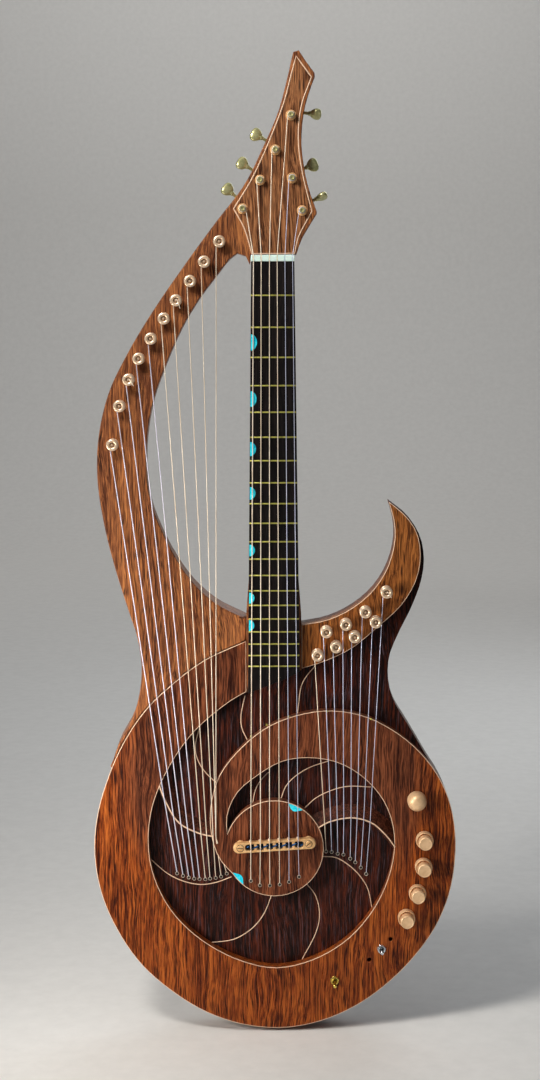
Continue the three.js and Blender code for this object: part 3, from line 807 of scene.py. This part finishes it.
def make_woodwork():
    core = eased("body_core", FLOOR_WOOD, "floor_wood", (FLOOR, FRONT, 0.4), (0, BACK, 3.0))
    core.data.materials.append(BACK_WOOD)
    for face in core.data.polygons:
        if face.center.y > (1 - FLOOR) * MM:
            face.material_index = 1
    eased("spiral_top", ROSEWOOD, "rosewood", (PLATE, FRONT, 0.8))
    eased("horn_top", HORN_WOOD, "rosewood", (PLATE, FRONT, 0.8))
    eased("harp_arm", ARM_WOOD, "arm_wood", (ARM, FRONT, 1.6), (ARM_BACK, BACK, 3.0),
          (HEAD_BACK, BACK, 1.2))
    eased("neck", ARM_WOOD, "arm_wood")
    eased("fingerboard", EBONY, "ebony", (BOARD, FRONT, 0.6))
    eased("bass_saddle_ridge", RIDGE_WOOD, "rosewood")
    eased("treble_saddle_ridge", RIDGE_WOOD, "rosewood")
    eased("control_cover", PLASTIC, "cover_plastic", (0, BACK, 0.6))
    circuit = frame["nodes"]["preamp_board"].data.materials
    circuit.clear()
    circuit.append(CIRCUIT)


def make_binding():
    """A pale strip let into the front edge of the plates."""
    for node, name in (("spiral_top", "plate"), ("horn_top", "horn")):
        bm = welded(node)
        rims = cap_rims(bm, cap_faces(bm, PLATE, FRONT))
        rim = max(rims, key=rim_length)
        inset, sink = 0.45 * MM, Vector((0, 0.45 * MM, 0))
        points = [corner.co + mitre * inset + sink for corner, mitre in rim]
        bm.free()
        wire(f"{name}_binding", points, 1.0, BINDING, "binding", closed=True)


def make_floor_lines():
    for number, septum in enumerate(SEPTA, 1):
        points = [at(p.x, FLOOR + 0.15, p.y) for p in smooth_path(septum, 4)]
        wire(f"floor_line_{number}", points, 1.0, BINDING, "binding")
    for name, crest in (("bass", BASS_CREST), ("treble", TREBLE_CREST)):
        points = [at(p.x, RIDGE_TOP, p.y) for p in smooth_path(crest, 1)[4:-3]]
        wire(f"{name}_ridge_crest", points, CREST_BEAD, BINDING, "binding")


def make_headstock_inlay():
    """A lighter overlay inside an inlaid line."""
    outline = []
    for stretch, following in zip(HEAD_LINE, HEAD_LINE[1:] + HEAD_LINE[:1]):
        outline += [tuple(p) for p in smooth_path(stretch + following[:1], 8)[:-1]]
    wire("headstock_line", [at(x, ARM + 0.1, z) for x, z in outline], 1.4, BINDING, "binding",
         closed=True)
    bm = bmesh.new()
    low = [bm.verts.new(at(x, ARM - 0.5, z)) for x, z in outline]
    high = [bm.verts.new(at(x, ARM + 0.25, z)) for x, z in outline]
    add_loft(bm, [low, high], capped=False)
    for ring in (low, high):
        close_rings(bm, [ring], FRONT)
    from_bmesh("headstock_overlay", bm, HEAD_WOOD)


# ---------- fingerboard ----------

def board_half(z):
    """Half the fingerboard's width at a place up the neck."""
    last_fret_z = fret_z(LAST_FRET)
    taper = (LAST_WIDTH - NUT_WIDTH) / (NUT_Z - last_fret_z)
    return (NUT_WIDTH + taper * (NUT_Z - z)) / 2


def fret_z(number):
    return SADDLE_Z + SCALE_LENGTH * 2 ** (-number / 12)


def make_frets():
    crown = [(-0.8, -0.4), (-0.8, 0.15), (-0.55, 0.7), (0, 0.95), (0.55, 0.7), (0.8, 0.15),
             (0.8, -0.4)]
    for number in range(1, LAST_FRET + 1):
        z = fret_z(number)
        half = board_half(z) - 0.15
        bm = bmesh.new()
        rings = []
        for x, grow in ((-half, 0.6), (-half + 0.7, 1), (half - 0.7, 1), (half, 0.6)):
            rings.append([bm.verts.new(at(x, BOARD + h * grow, z + w)) for w, h in crown])
        add_loft(bm, rings)
        from_bmesh(f"fret_{number}", bm, BRASS, 50)


def make_inlays():
    """Half-moons of turquoise on the bass edge, before seven of the frets."""
    sizes = {3: (17, 6.3), 5: (16.5, 6.3), 7: (15, 6.2), 9: (13.5, 6), 12: (12.5, 5.9),
             15: (12, 5.8), 17: (12, 5.8)}
    for fret, (length, width) in sizes.items():
        middle = (fret_z(fret) + fret_z(fret - 1)) / 2
        outline = []
        for i in range(17):
            turn = math.radians(-90 + 180 * i / 16)
            z = middle + length / 2 * math.sin(turn)
            outline.append((-board_half(z) + 0.5 + width * math.cos(turn), z))
        bm = bmesh.new()
        add_board(bm, outline, BOARD - 0.3, BOARD + 0.08, Matrix.Identity(4))
        from_bmesh(f"inlay_{fret}", bm, TURQUOISE)


def make_moons():
    """Two slim moons of turquoise just inside the rim of the bridge disc."""
    rim = DISC_RADIUS - 0.9
    for name, start, end, depth in (("upper", 54.4, 73.5, 6.2), ("lower", 210.7, 229.8, 5.6)):
        outline = [polar(rim, start + (end - start) * i / 12) for i in range(13)]
        for i in range(1, 12):
            inner = rim - depth * math.sin(math.pi * i / 12)
            outline.append(polar(inner, end + (start - end) * i / 12))
        bm = bmesh.new()
        add_board(bm, outline, PLATE - 0.3, PLATE + 0.1, Matrix.Identity(4))
        from_bmesh(f"moon_{name}", bm, TURQUOISE)


def make_nut():
    """The nut, with a groove for each string and a rounded front."""
    low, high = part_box("nut")
    left, right = low.x / MM, high.x / MM
    spots = sorted({left, left + 0.6, right - 0.6, right}
                   | {x + side for x in NUT_X for side in (-0.9, -0.45, 0, 0.45, 0.9)})
    back = -high.y / MM
    front = -low.y / MM
    bottom, top = low.z / MM, high.z / MM
    bm = bmesh.new()
    rings = []
    for x in spots:
        groove = 0.55 if any(abs(x - s) < 0.5 for s in NUT_X) else 0
        edge = 0.4 if x in (left, right) else 0
        crest = front - groove - edge
        section = [(back, bottom), (crest - 0.5, bottom), (crest, bottom + 0.5),
                   (crest - 0.1, top - 1.6), (crest - 1.2, top), (back, top)]
        rings.append([bm.verts.new(at(x, h, z)) for h, z in section])
    add_loft(bm, rings)
    finished("nut", bm, BONE)


# ---------- bridge ----------

BRIDGE_Z = 6.6
BRIDGE_TILT = 3.6
STUD_X = 37.3


def on_bridge(x, z=0.0):
    """A place on the tilted bridge, as x and z."""
    turn = math.radians(BRIDGE_TILT)
    return (x * math.cos(turn) - z * math.sin(turn),
            BRIDGE_Z + x * math.sin(turn) + z * math.cos(turn))


def bridge_stack(bm, place, length, width, shifts):
    """The rings of one bar outline at the bridge's four levels, each moved out by its shift."""
    middle = (length - width) / 2
    stack = []
    for height, shift in zip((56, 60.6, 61.6, 62), shifts):
        ring = []
        for x, z in stadium(length, width):
            side = math.copysign(max(0, abs(x) - middle), x)
            size = math.hypot(side, z)
            ring.append(bm.verts.new(place @ at(x + side / size * shift, height,
                                                z + z / size * shift)))
        stack.append(ring)
    return stack


def make_bridge():
    place = stand(0, BRIDGE_Z, 0, BRIDGE_TILT)
    bm = bmesh.new()
    bar = bridge_stack(bm, place, 90, 12, (0, 0, -0.35, -1.2))
    slot = bridge_stack(bm, place, 64, 6.6, (0, 0, 0.15, 0.54))
    for stack in (bar, slot):
        add_loft(bm, stack, capped=False)
    for level in (0, -1):
        add_loft(bm, [bar[level], slot[level]], capped=False)
    for side in (-1, 1):
        foot = moved(place, side * STUD_X, 0, 0)
        add_lathe(bm, [(0, 49.1), (5.2, 49.1), (5.2, 50), (4.5, 50.4), (4.5, 56.2), (0, 56.2)],
                  28, foot)
    finished("bridge", bm, GOLD, 40)

    make_bridge_studs(place)
    make_saddles(place)


def make_bridge_studs(place):
    """The slotted heads of the two studs, each in a dark ring with a dark bar across it: painted
    shade for its clearance and its slot.
    """
    heads, stud_shade = bmesh.new(), bmesh.new()
    for side, turn in ((-1, 8), (1, -35)):
        stud = moved(place, side * STUD_X, 0, 0, turn)
        add_lathe(heads, [(0, 61.5), (3.5, 61.5), (3.5, 62.3), (3.1, 62.7), (0, 62.8)], 28, stud)
        add_lathe(stud_shade, [(3.45, 61.9), (4.1, 61.9), (4.1, 62.06), (3.45, 62.06), (3.45, 61.9)],
                  28, stud)
        add_box(stud_shade, (-3.0, 62.5, -0.4), (3.0, 62.86, 0.4), stud)
    from_bmesh("bridge_stud_heads", heads, GOLD, 40)
    from_bmesh("bridge_stud_painted_shade", stud_shade, SHADOW, 40)


def make_saddles(place):
    """Six dark saddles with gold blocks between them, held by one wavy blued wire."""
    wedge = [(-2.9, 57), (-2.9, 59.6), (-0.5, 63.2), (0.5, 63.2), (2.9, 59.6), (2.9, 57)]
    notched = ((-2.9, 0.7), (-2.5, 0.2), (-0.9, 0), (-0.5, 0.45), (0.5, 0.45), (0.9, 0), (2.5, 0.2),
               (2.9, 0.7))
    for number, x in enumerate(SADDLE_X, 1):
        bm = bmesh.new()
        rings = [[bm.verts.new(place @ at(x + across, h - (sink if h > 60 else 0), z))
                  for z, h in wedge] for across, sink in notched]
        add_loft(bm, rings)
        from_bmesh(f"saddle_{number}", bm, DARK_STEEL)

    blocks = bmesh.new()
    for x in [(a + b) / 2 for a, b in zip(SADDLE_X, SADDLE_X[1:])]:
        for low, high in ((-3.3, -0.8), (0.8, 3.3)):
            add_box(blocks, (x - 1.7, 56.6, low), (x + 1.7, 61.6, high), place, 0.4)
    from_bmesh("saddle_blocks", blocks, GOLD)

    screws = bmesh.new()
    screw = [(0, -5.4), (0.8, -5.4), (0.8, 6.0), (1.5, 6.0), (1.5, 7.9), (1.1, 8.3), (0, 8.3)]
    for x in SADDLE_X:
        add_lathe(screws, screw, 14, moved(place, x, 60.2, 0, -90, "X"))
    from_bmesh("saddle_screws", screws, PEG_GOLD)

    # A dark slab low in the bridge's slot: painted shade.
    slot_shade = bmesh.new()
    add_box(slot_shade, (-31, 56.1, -3.2), (31, 56.7, 3.2), place)
    from_bmesh("bridge_slot_painted_shade", slot_shade, SHADOW)
    wave = [place @ at(x, 61.5, 0.9 * math.sin(2 * math.pi * x / 10.3)) for x in range(-30, 32)]
    wire("bridge_retaining_wire", wave, 1.4, BLUED_STEEL, "chrome")


# ---------- strings ----------

# A string's material and slot.
BRONZE = (BRONZE_STRING, "bronze_string")
SILVER = (SILVER_WOUND, "steel_string")
PLAIN = (STEEL_STRING, "steel_string")
# The turns of each string on its peg or post, and how deep its end sits in the ferrule.
TURNS = 2.6
END_SINK = 0.5


def cross(start, end, path):
    """Where a straight line in the front view first crosses a path, as x and z."""
    run = end - start
    for a, b in zip(path, path[1:]):
        step = b - a
        scale = run.x * step.y - run.y * step.x
        if abs(scale) < 1e-9:
            continue
        along = ((a.x - start.x) * step.y - (a.y - start.y) * step.x) / scale
        share = ((a.x - start.x) * run.y - (a.y - start.y) * run.x) / scale
        if 0 <= along <= 1 and 0 <= share <= 1:
            return start + run * along
    return min(path, key=lambda p: abs((p - start).cross(run.normalized())))


def windings(x, z, radius, low, high, turns, side):
    """Points of a string's turns on its post, from the front one to where it leaves downwards on
    the post's right, for side 1, or its left."""
    points_per_turn = 20
    count = round(turns * points_per_turn)
    points = []
    for i in range(count + 1):
        turn = 2 * math.pi * turns * (1 - i / count)
        points.append(at(x + side * radius * math.cos(turn), high + (low - high) * i / count,
                         z + radius * math.sin(turn)))
    return points


def harp_string(name, peg, face, end, crest, diameter, kind):
    """A string from its peg straight over the ridge to its ferrule."""
    radius = PEG_RADIUS + diameter / 2
    first_turn = face + 3.6
    wraps = windings(*peg, radius, first_turn, first_turn + TURNS * diameter, TURNS, -1)
    left = Vector((peg[0] - radius, peg[1]))
    over = cross(left, Vector(end), crest)
    points = wraps + [at(over.x, RIDGE_TOP + (CREST_BEAD + diameter) / 2, over.y),
                      at(end[0], FLOOR - END_SINK, end[1])]
    wire(name, points, diameter, *kind)


def make_harp_strings():
    crest = smooth_path(BASS_CREST, 2)
    for i, (peg, end) in enumerate(zip(ARM_PEGS, BASS_ENDS)):
        kind = SILVER if i < 5 else BRONZE
        harp_string(f"bass_string_{i + 1}", peg, ARM, end, crest, 1.18 - 0.03 * i, kind)
    crest = smooth_path(TREBLE_CREST, 2)
    for i, (peg, end) in enumerate(zip(HORN_PEGS, TREBLE_ENDS)):
        kind = BRONZE if i == 0 else PLAIN
        harp_string(f"treble_string_{i + 1}", peg, PLATE, end, crest, 0.9 - 0.03 * i, kind)


def make_neck_strings():
    sizes = (1.08, 1.0, 0.92, 0.86, 0.68, 0.6)
    groove_floor, saddle_top = 60.85, 62.8
    post_radius, first_turn = 2.9, 52.2
    for i, (name, post, _, _, _) in enumerate(TUNERS):
        diameter = sizes[i]
        radius = post_radius + diameter / 2
        side = 1 if i == 0 else -1
        wraps = windings(*post, radius, first_turn, first_turn + TURNS * diameter, TURNS, side)
        saddle_x, saddle_z = on_bridge(SADDLE_X[i])
        end_x, end_z = NECK_ENDS[i]
        nut_top = groove_floor + diameter / 2
        points = wraps + [at(NUT_X[i], nut_top - 0.5, NUT_Z + 5.5),
                          at(NUT_X[i], nut_top, NUT_Z + 1.5),
                          at(saddle_x, saddle_top + diameter / 2, saddle_z),
                          at(end_x, PLATE - END_SINK, end_z)]
        wire(f"neck_string_{name}", points, diameter, *(BRONZE if i < 4 else PLAIN))


def make_string_tails():
    """Short cut ends that stand out of the hollow fronts of three pegs."""
    tails = (("bass", 3, ARM_PEGS[2], ARM, 5.5, -6.5),
             ("bass", 7, ARM_PEGS[6], ARM, 4.5, -8.5),
             ("treble", 8, HORN_PEGS[7], PLATE, 5.0, -5.5))
    for side, number, (x, z), face, across, down in tails:
        points = [at(x, face + 10.4, z), at(x + across * 0.2, face + 13, z + 0.8),
                  at(x + across * 0.6, face + 13.2, z + down * 0.3),
                  at(x + across, face + 11.4, z + down)]
        wire(f"{side}_string_tail_{number}", smooth_path(points, 0.0012), 0.9, *BRONZE)


def make_ferrules():
    """The eyelets that the strings run into, each with a dark disc in its hole as painted shade."""
    ring = [(1.5, -1), (1.5, 0.35), (1.6, 0.45), (1.9, 0.4), (2.05, 0.2), (2.05, -0.3)]
    hole_shade = [(0, 0.25), (1.6, 0.25), (1.6, -0.4), (0, -0.4)]
    groups = (("bass", BASS_ENDS, FLOOR), ("neck", NECK_ENDS, PLATE),
              ("treble", TREBLE_ENDS, FLOOR))
    kinds = (("ferrules", ring, NICKEL, "chrome"),
             ("ferrule_hole_shades", hole_shade, SHADOW, "cover_plastic"))
    for name, ends, face in groups:
        for kind, profile, material, slot_name in kinds:
            bm = bmesh.new()
            for x, z in ends:
                add_lathe(bm, [(r, face + h + 0.1) for r, h in profile], 20, stand(x, z, 0))
            from_bmesh(f"{name}_{kind}", bm, material, 40)


# ---------- pegs and tuners ----------

PEG_FRONT = [(PEG_RADIUS, 1), (PEG_RADIUS, 8.2), (4.8, 8.5), (6.1, 9.3), (6.5, 10.3), (6.3, 11.3),
             (5.6, 12.0), (4.4, 12.2), (3.3, 11.9), (2.8, 11.2), (2.6, 9.6), (1.4, 9.5),
             (1.3, 11.0), (0.9, 11.6), (0, 11.7)]
HOLLOW_RADIUS = 2.75


def peg_mesh():
    """A peg about its own foot: gold, with the hollow in its head a darker colour, as painted
    shade.
    """
    bm = bmesh.new()
    back = [(0, -33), (4.0, -33), (4.4, -32.4), (4.4, 1)]
    add_lathe(bm, back + PEG_FRONT, 32, Matrix.Identity(4))
    button = ((0.62, -30.9), (0.9, -31.5), (1, -33), (1, -36), (0.9, -37.5), (0.62, -38))
    rings = [[bm.verts.new(at(x, height, z)) for x, z in ellipse(8.5 * share, 5.5 * share)]
             for share, height in button]
    add_loft(bm, rings)
    bmesh.ops.recalc_face_normals(bm, faces=bm.faces)
    # The faces inside the hollow take the darker colour: painted shade.
    for face in bm.faces:
        middle = face.calc_center_median() / MM
        away = math.hypot(middle.x, middle.z)
        if 1.3 < away < HOLLOW_RADIUS and middle.y < -9:
            face.material_index = 1
    mesh = bpy.data.meshes.new("peg")
    bm.to_mesh(mesh)
    bm.free()
    shade(mesh, 40)
    mesh.materials.append(PEG_GOLD)
    mesh.materials.append(HOLLOW_SHADE)
    return mesh


def make_pegs():
    shared = peg_mesh()
    collars = bmesh.new()
    rear = bmesh.new()
    collar = [(4.6, -2), (4.6, 0.4), (4.7, 1.2), (5.4, 1.4), (6.0, 1.0), (6.3, 0.4), (6.4, -0.2)]
    bush = [(4.6, 2), (4.6, -1.0), (5.2, -1.6), (6.6, -1.2), (7.0, 0.3)]
    for name, pegs, face in (("bass", ARM_PEGS, ARM), ("treble", HORN_PEGS, PLATE)):
        for number, (x, z) in enumerate(pegs, 1):
            node = f"{name}_peg_{number}"
            piece = placed(f"{node}_finished", shared)
            piece.location = at(x, face, z)
            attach(piece, node)
            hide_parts(node)
            add_lathe(collars, [(r, face + h) for r, h in collar], 28, stand(x, z, 0))
            add_lathe(rear, [(r, ARM_BACK + h) for r, h in bush], 28, stand(x, z, 0))
    from_bmesh("peg_collars", collars, PEG_GOLD, 40)
    from_bmesh("peg_rear_bushes", rear, AGED_GOLD, 40)


def tuner_button_outline():
    """A kidney-shaped finger button, widest near its free end."""
    points = [(-1.5, -3), (1.5, -5.8), (5.2, -7.3), (8.6, -6.4), (10.2, -3.2), (10.4, 0),
              (10.2, 3.2), (8.6, 6.4), (5.2, 7.3), (1.5, 5.8), (-1.5, 3)]
    return [tuple(p) for p in smooth_path(points, 1.2)]


def add_pillow(bm, outline, low, high, place):
    """A rounded button: an outline swollen between two heights."""
    centre = sum((Vector(p) for p in outline), Vector((0, 0))) / len(outline)
    middle, half = (low + high) / 2, (high - low) / 2
    rings = []
    for step in range(-4, 5):
        turn = math.pi / 2 * step / 4.6
        share = math.cos(turn) ** 0.45
        ring = []
        for point in outline:
            spot = centre + (Vector(point) - centre) * share
            ring.append(bm.verts.new(place @ at(spot.x, middle + half * math.sin(turn), spot.y)))
        rings.append(ring)
    add_loft(bm, rings)


SHAFT_HEIGHT = -5.5
SHAFT_OFFSET = 6.0
BUTTON_REACH = 21.5


def make_tuners():
    outline = tuner_button_outline()
    bushes = bmesh.new()
    for name, (x, z), lie, side, button_turn in TUNERS:
        place = stand(x, z, HEAD_BACK, lie)
        offset = side * SHAFT_OFFSET

        bm = bmesh.new()
        low = min(-6.5, offset - 4)
        high = max(6.5, offset + 4)
        add_box(bm, (-7, -10.3, low), (7, -0.4, high), place, 1.7)
        add_lathe(bm, [(0, -11.4), (2.2, -11.4), (2.6, -11.0), (2.6, -10.2), (0, -10.2)], 20, place)
        along = moved(place, 7, SHAFT_HEIGHT, offset, 90, "Z")
        add_lathe(bm, [(2.1, 0.6), (2.1, -1.4), (2.9, -1.2), (3.3, -0.2), (3.3, 0.6)], 20, along)
        finished(f"tuner_housing_{name}", bm, AGED_GOLD)

        bm = bmesh.new()
        add_lathe(bm, [(0, -9.3), (3.4, -9.3), (3.4, -2), (3.0, -1.6), (3.0, 19.5), (2.55, 20.6),
                       (2.45, 22.4), (2.9, 23.6), (2.9, 25.4), (2.4, 26), (1.2, 25.9), (0.9, 25.2),
                       (0, 25.2)], 28, place)
        finished(f"tuner_post_{name}", bm, AGED_GOLD, 40)

        bm = bmesh.new()
        shaft = moved(place, 0, SHAFT_HEIGHT, offset, 90, "Z")
        add_lathe(bm, [(0, 7.4), (1.7, 7.4), (1.7, 17.5), (2.2, 18.2), (2.6, 19.4), (2.4, 21.5),
                       (0, 21.5)], 20, shaft)
        head = moved(place, BUTTON_REACH, SHAFT_HEIGHT, offset, button_turn, "X")
        add_pillow(bm, outline, -3.0, 3.0, head)
        finished(f"tuner_button_{name}", bm, AGED_GOLD, 50)

        hexagon = [polar(4.9, 60 * i) for i in range(6)]
        add_board(bushes, hexagon, ARM + 0.2, ARM + 2.6, stand(x, z, 0, lie), 0.6)
        add_lathe(bushes, [(5.5, ARM), (5.5, ARM + 0.5), (5.1, ARM + 0.8), (3.2, ARM + 0.8)], 28,
                  stand(x, z, 0))
    from_bmesh("tuner_bushes", bushes, GOLD, 30)


# ---------- controls ----------

# How far the knobs' stems reach behind the plate's front, into their potentiometers.
STEM_END = -20.6


def turned(node, profile, material, place, segments=48):
    """A turned piece in the place of a CAD node."""
    bm = bmesh.new()
    add_lathe(bm, profile, segments, place)
    finished(node, bm, material)


def make_knobs():
    dome = [(0, STEM_END), (3, STEM_END), (3, 0.5), (9.9, 0.5), (10.3, 0.9), (10.3, 7.6),
            (10.15, 9.2), (9.7, 11), (8.9, 12.9), (7.7, 14.5), (6.1, 15.8), (4, 16.7), (2, 17.1),
            (0, 17.2)]
    outer = [(2.2, STEM_END), (3.6, STEM_END), (3.6, 0.5), (9.1, 0.5), (9.5, 0.9), (9.5, 7.2),
             (9.3, 8.0), (8.9, 8.5), (8.5, 8.5), (8.2, 8.1), (8.1, 5.0), (2.2, 5.0),
             (2.2, STEM_END)]
    inner = [(0, STEM_END), (1.8, STEM_END), (1.8, 5.3), (6.8, 5.3), (6.8, 9.8), (7.5, 10.6),
             (7.5, 18.2), (7.3, 18.9), (6.8, 19.4), (6.4, 19.6), (6.1, 19.5), (5.9, 19.3),
             (0, 19.25)]
    turned("volume_knob", dome, KNOB, stand(*on_control_arc(DOME_ANGLE), PLATE))
    for number, angle in enumerate(STACK_ANGLES, 1):
        place = stand(*on_control_arc(angle), PLATE)
        turned(f"outer_knob_{number}", outer, KNOB, place)
        turned(f"inner_knob_{number}", inner, KNOB, place)


def make_toggles():
    lever = [(0, -2), (1.5, -1.6), (1.5, 2), (1.15, 4), (1.3, 6), (1.75, 7.8), (2.1, 9.2),
             (2.0, 10.2), (1.3, 10.9), (0, 11)]
    bush = [(2.4, -1), (2.4, 3.4), (2.9, 3.7), (3.4, 3.4), (3.5, 2.1), (4.4, 2.0), (4.7, 1.5),
            (4.7, 0.2), (4.9, 0)]
    toggles = (("silver_toggle", SILVER_ANGLE, 0, CHROME, "chrome"),
               ("gold_toggle", GOLD_ANGLE, GOLD_LEAN, TOGGLE_GOLD, "gold"))
    for node, angle, lean, material, slot_name in toggles:
        x, z = on_control_arc(angle)
        pivot = stand(x, z, PLATE + TOGGLE_PIVOT, 0, lean)
        turned(node, lever, material, pivot, 24)
        bm = bmesh.new()
        add_lathe(bm, bush, 28, stand(x, z, PLATE))
        from_bmesh(f"{node}_bush", bm, material)


def make_jack():
    low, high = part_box("output_jack")
    face = high.x / MM
    middle = (low + high) / 2
    place = (Matrix.Translation(Vector((0, middle.y, middle.z)))
             @ Matrix.Rotation(math.pi / 2, 4, "Z"))
    inner_end, hole_end = 172, 175
    profile = [(0, inner_end), (5, inner_end), (5, face - 1.5), (9, face - 1.5), (9, face - 0.8),
               (8.5, face - 0.1), (5.6, face), (5.2, face + 0.9), (4.4, face + 1.1),
               (3.6, face + 0.9), (3.3, face + 0.3), (3.3, hole_end), (0, hole_end)]
    turned("output_jack", profile, CHROME, place, 36)


def make_edge_pins():
    """Small brass pins along the upper rim of the plate."""
    bm = bmesh.new()
    pin = [(1.1, -0.5), (1.1, 0.25), (0.8, 0.5), (0, 0.6)]
    for x, z in ((-25.1, 126), (-8, 138.3), (15.6, 147.6), (57.6, 153.4), (105.5, 144.4)):
        add_lathe(bm, pin, 16, stand(x, z, PLATE))
    from_bmesh("edge_pins", bm, BRASS)


def make_cover_screws():
    """Eight countersunk screws that hold the control cover."""
    bm = bmesh.new()
    for angle in (-72, -38, -4, 26):
        for radius in (149, 180):
            spot = stand(*polar(radius, angle), 0)
            add_lathe(bm, [(0, 1.5), (2.4, 1.0), (2.7, 0.1), (2.3, -0.25), (0, -0.4)], 20, spot)
            for quarter in (0, 90):
                add_box(bm, (-1.5, -0.5, -0.22), (1.5, -0.3, 0.22), moved(spot, 0, 0, 0, quarter))
    from_bmesh("cover_screws", bm, DARK_STEEL)


make_camera()
make_backdrop()
make_light()
make_woodwork()
make_binding()
make_floor_lines()
make_headstock_inlay()
make_frets()
make_inlays()
make_moons()
make_nut()
make_bridge()
make_harp_strings()
make_neck_strings()
make_string_tails()
make_ferrules()
make_pegs()
make_tuners()
make_knobs()
make_toggles()
make_jack()
make_edge_pins()
make_cover_screws()
